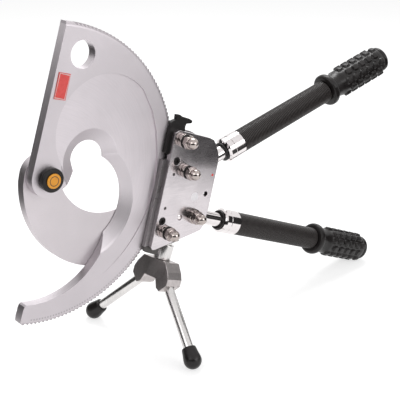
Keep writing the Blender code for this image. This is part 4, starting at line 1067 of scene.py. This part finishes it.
def grip_ring(bm, side, along, radius=None):
    """A ring of points about the handle's axis. Without a radius, it has the grip's own."""
    start, axis, _ = HANDLES[side]
    across, up = frame_on(axis)
    ring = []
    for i in range(GRIP_STEPS):
        angle = 2 * pi * i / GRIP_STEPS
        reach = (grip_reach(along, angle) if radius is None else radius) * MM
        way = across * sin(angle) + up * cos(angle)
        ring.append(bm.verts.new(start + axis * (along * MM) + way * reach))
    return ring


def rubber_grip(side):
    start, axis, _ = HANDLES[side]
    bm = bmesh.new()
    bore, cup_at, dish_at = TAIL_RADIUS + GRIP_CLEARANCE, TAIL_TO + GRIP_CLEARANCE, GRIP_TO - DISH_DEPTH
    rings = [grip_ring(bm, side, cup_at, bore), grip_ring(bm, side, GRIP_FROM, bore)]
    rings += [grip_ring(bm, side, s) for s in grip_sections()]
    rings += [grip_ring(bm, side, GRIP_TO, DISH_RIM), grip_ring(bm, side, dish_at, DISH_RADIUS)]
    cup = bm.verts.new(start + axis * (cup_at * MM))
    tip = bm.verts.new(start + axis * (dish_at * MM))
    for near, far in zip(rings, rings[1:]):
        for i in range(GRIP_STEPS):
            j = (i + 1) % GRIP_STEPS
            bm.faces.new((near[i], near[j], far[j], far[i]))
    for i in range(GRIP_STEPS):
        j = (i + 1) % GRIP_STEPS
        bm.faces.new((rings[0][j], rings[0][i], cup))
        bm.faces.new((rings[-1][i], rings[-1][j], tip))
    return piece(f"{side}_rubber_grip", mesh_of(f"{side}_grip", bm), f"{side}_tube", rubber, "rubber",
                 f"{side}_grip", sharp=48)


for side in HANDLES:
    grip = rubber_grip(side)
print("a grip has", len(grip.data.polygons), "faces")

# %% [markdown]
# ## The stand
# A short post under the tail carries a faceted head, and two legs spread from it to rubber feet, each
# a boot that ends in a ball. The legs lean and spread, so their axes are read from the frame's own
# solids, as the direction along which a solid's points lie furthest apart.

# %% Sizes of the stand
POST_RADIUS, POST_SKIRT = 7.0, 9.6
POST_LENGTH, POST_STUD, SKIRT_TOP = 32.0, 24.0, 6.5  # from the post's upper end
STUD_RADIUS = 4.0
LEG_RADIUS = 5.6
BALL_RADIUS = 9.8
BALL_AT = 3.4  # the ball's middle, from the leg's lower end
FOOT_BORE, FOOT_TOP = 5.9, 14.0
BOOT = [(13.6, 7.6), (12.6, 7.9), (7.0, 8.7), (3.0, 9.5)]  # heights over the ball's middle, radii
print("a leg is", 2 * LEG_RADIUS, "mm thick")

# %% Post, legs and feet


def upright_axis(node):
    """The axis of a long piece, pointing up."""
    centre, along, low, high = axis_of(node)
    return (centre, along, low, high) if along.z > 0 else (centre, -along, -high, -low)


def stand_piece(name, profile, centre, along, finish, slot, node):
    return piece(name, lathe_mesh(name, profile, centre, along, 64), "frame", finish, slot, node)


centre, along, low, high = upright_axis("stand_post")
stud, foot_of_post, skirt_top = high - POST_STUD, high - POST_LENGTH, high - SKIRT_TOP
post = [(foot_of_post, 0.0), (foot_of_post, STUD_RADIUS), (stud, STUD_RADIUS),
        *rounded(stud, skirt_top, POST_SKIRT, 0.8), (skirt_top, POST_RADIUS), (high, POST_RADIUS),
        (high, 0.0)]
stand_piece("stand_post_bar", post, centre, along, bar_steel, "leg_steel", "stand_post")
for side in ("near", "far"):
    centre, along, low, high = upright_axis(f"{side}_leg")
    leg = [(low, 0.0), *rounded(low, high, LEG_RADIUS, 0.5), (high, 0.0)]
    stand_piece(f"{side}_leg_bar", leg, centre, along, bar_steel, "leg_steel", f"{side}_leg")
    ball = low + BALL_AT
    foot = [(ball - 3.7, 0.0), (ball - 3.7, FOOT_BORE), (ball + FOOT_TOP, FOOT_BORE),
            (ball + FOOT_TOP, 7.1), *((ball + up, radius) for up, radius in BOOT)]
    foot += [(ball + BALL_RADIUS * sin(radians(a)), BALL_RADIUS * cos(radians(a)))
             for a in range(0, -90, -8)]
    foot.append((ball - BALL_RADIUS, 0.0))
    stand_piece(f"{side}_foot_ball", foot, centre, along, rubber, "rubber", f"{side}_foot")
print("the stand's legs lean along", [round(v, 3) for v in along])

# %% [markdown]
# ## What stays as it is
# Springs, bushes and the pawl's pin hardly show. Their solids are right, so they only take a finish.

# %% Carried solids
CARRIED = {"release_spring": spring_steel, "lever_spacer": bolt_steel, "release_spacer": bolt_steel,
           "pawl_pin": bolt_steel}
for node, finish in CARRIED.items():
    solid = frame["nodes"][node]
    for slot in solid.material_slots:
        slot.material = finish.material
    if not solid.material_slots:
        solid.data.materials.append(finish.material)
print(len(CARRIED), "solids carried over")

# %% [markdown]
# ## Dots on the plate
# A red inspection dot of paint and a round white dot sit on the front plate. A drop of paint is
# thickest in its middle and thins out at its edge, so each is made as such a turned drop, a tenth of a
# millimetre high.

# %% Dots on the plate
# the height of both dots
DOT_HEIGHT = 0.12  # the paint's thickness


def plate_dot(name, x, z, radius, finish):
    base = place(x, 0.0, z)
    profile = [(PLATE_FRONT - DOT_HEIGHT, 0.0), (PLATE_FRONT - DOT_HEIGHT, radius - 0.2),
               (PLATE_FRONT - 0.02, radius), (PLATE_FRONT + 0.1, radius), (PLATE_FRONT + 0.1, 0.0)]
    mesh = lathe_mesh(name, profile, base, Y_AXIS, 48)
    return piece(name, mesh, "frame", finish, "nickel")


plate_dot("red_dot", 197.2, -37.1, 1.5, red_ink)
plate_dot("white_dot", 171.9, -56.6, 5.0, white_dot)
print("two dots on the front plate")

# %% [markdown]
# ## Floor and world
# The photograph's ground is pure white with soft, pale shadows. The floor and the world are white to
# the camera and in reflections, through Light Path, and the floor keeps part of its own shading, so the
# tool's shadow stays. The light that falls on the tool is weaker than that white.

# %% Studio sheets


def light_path_white(tree):
    """1 where the ray comes from the camera, a mirror or glass."""
    seen = tree.node("ShaderNodeLightPath", output="Is Camera Ray")
    mirrored, through = seen.other("Is Glossy Ray"), seen.other("Is Transmission Ray")
    return seen.most(mirrored).most(through)


def studio_sheet(name, mesh, look):
    """A floor or card, which isn't part of the tool, and its empty tree."""
    sheet = bpy.data.objects.new(name, mesh)
    bpy.context.scene.collection.objects.link(sheet)
    material = bpy.data.materials.new(look)
    material.use_nodes = True
    mesh.materials.append(material)
    tree = Tree(material.node_tree)
    tree.nodes.clear()
    return sheet, tree


print("studio sheets are ready")

# %% Floor and world
FLOOR_SIZE = 6.0  # metres from the middle to each side
FLOOR_COLOUR = (0.86, 0.86, 0.86)
FLOOR_SHARE = 0.3  # how much of the floor's look is plain white
FLOOR_GLOW = 2.15
WHITE = (1.0, 1.0, 1.0)
WORLD_LIGHT = 0.45

bm = bmesh.new()
bmesh.ops.create_grid(bm, x_segments=1, y_segments=1, size=FLOOR_SIZE)
floor, tree = studio_sheet("floor", mesh_of("floor", bm), "floor_white")
matt = tree.node("ShaderNodeBsdfDiffuse", inputs={"Color": FLOOR_COLOUR})
glow = tree.node("ShaderNodeEmission", inputs={"Strength": FLOOR_GLOW})
share = light_path_white(tree) * FLOOR_SHARE
mixed = tree.node("ShaderNodeMixShader", inputs={0: share, 1: matt, 2: glow})
tree.node("ShaderNodeOutputMaterial", inputs={"Surface": mixed})

world = bpy.data.worlds.new("studio")
world.use_nodes = True
bpy.context.scene.world = world
tree = Tree(world.node_tree)
tree.nodes.clear()
shown = tree.node("ShaderNodeBackground", inputs={"Color": WHITE, "Strength": 1.0})
light = tree.node("ShaderNodeBackground", inputs={"Color": WHITE, "Strength": WORLD_LIGHT})
mixed = tree.node("ShaderNodeMixShader", inputs={0: light_path_white(tree), 1: light, 2: shown})
tree.node("ShaderNodeOutputWorld", inputs={"Surface": mixed})
print("the", floor.name, "is", 2 * FLOOR_SIZE, "m wide")

# %% [markdown]
# ## Cards
# Metal needs something dark to mirror, or it looks like grey paint. In the photograph's room a white
# table ends and darker walls begin: the rods, collars, domes and blades show them as bands. Four
# upright cards stand for those walls, on the right, ahead, on the left and by the camera, and a small
# one stands where a part of the front plate mirrors it. Only reflections see the cards.

# %% Dark cards
GROUND = -PIVOT.z / MM
WALLS = [
    # name, a point and a direction seen from above, reach along it, heights over the floor, grey
    ("room_right", (497.0, -477.0), (0.634, 0.773), (-20.0, 900.0), (0.0, 170.0), 0.04),
    ("room_ahead", (335.0, -135.0), (1.0, 0.0), (0.0, 440.0), (88.0, 300.0), 0.03),
    ("room_left", (-240.0, 250.0), (0.72, 0.69), (-420.0, 420.0), (0.0, 400.0), 0.04),
    ("room_front", (-221.0, -464.0), (0.773, -0.635), (-450.0, 450.0), (130.0, 450.0), 0.03),
]
PLATE_CARD = [(222, -124, -63.5), (294, -119, -82.0), (345, -115, -94.0), (345, -115, -15.0),
              (222, -124, -8.0)]
PLATE_CARD_GREY = 0.07


def dark_card(name, corners, grey):
    """A card that only reflections see."""
    bm = bmesh.new()
    bm.faces.new([bm.verts.new(place(*corner)) for corner in corners])
    card, tree = studio_sheet(name, mesh_of(name, bm), name)
    glow = tree.node("ShaderNodeEmission", inputs={"Color": (grey, grey, grey)})
    tree.node("ShaderNodeOutputMaterial", inputs={"Surface": glow})
    for ray in ("camera", "diffuse", "shadow", "transmission"):
        setattr(card, f"visible_{ray}", False)


for name, at, along, reach, heights, grey in WALLS:
    ends = [Vector(at) + Vector(along) * far for far in reach]
    low, high = (GROUND + height for height in heights)
    dark_card(name, [(ends[0].x, ends[0].y, low), (ends[1].x, ends[1].y, low),
                     (ends[1].x, ends[1].y, high), (ends[0].x, ends[0].y, high)], grey)
dark_card("plate_card", PLATE_CARD, PLATE_CARD_GREY)
print(len(WALLS) + 1, "dark cards")

# %% [markdown]
# ## Lamps
# Soft light comes mostly from above and behind, on the right, which puts the shadow in front of the
# tool. Two weaker lamps open the shaded sides. Each lamp is a large area light, because a small one
# would draw hard shadows and hot spots in the metal.

# %% Lamps
TOOL = place(60, 0, -60)
LAMPS = [
    # name, where it stands from the tool in metres, width and height, watts
    ("key_lamp", (0.75, 0.65, 1.35), (0.8, 0.6), 13.0),
    ("left_lamp", (-1.3, -0.6, 0.9), (1.0, 1.0), 5.0),
    ("front_lamp", (0.5, -1.6, 0.7), (1.2, 0.8), 7.0),
]
for name, away, size, power in LAMPS:
    data = bpy.data.lights.new(name, "AREA")
    data.shape = "RECTANGLE"
    data.size, data.size_y = size
    data.energy = power
    lamp = bpy.data.objects.new(name, data)
    lamp.location = TOOL + Vector(away)
    lamp.rotation_euler = (-Vector(away)).to_track_quat("-Z", "Y").to_euler()
    bpy.context.scene.collection.objects.link(lamp)
print(len(LAMPS), "lamps light the tool")

# %% [markdown]
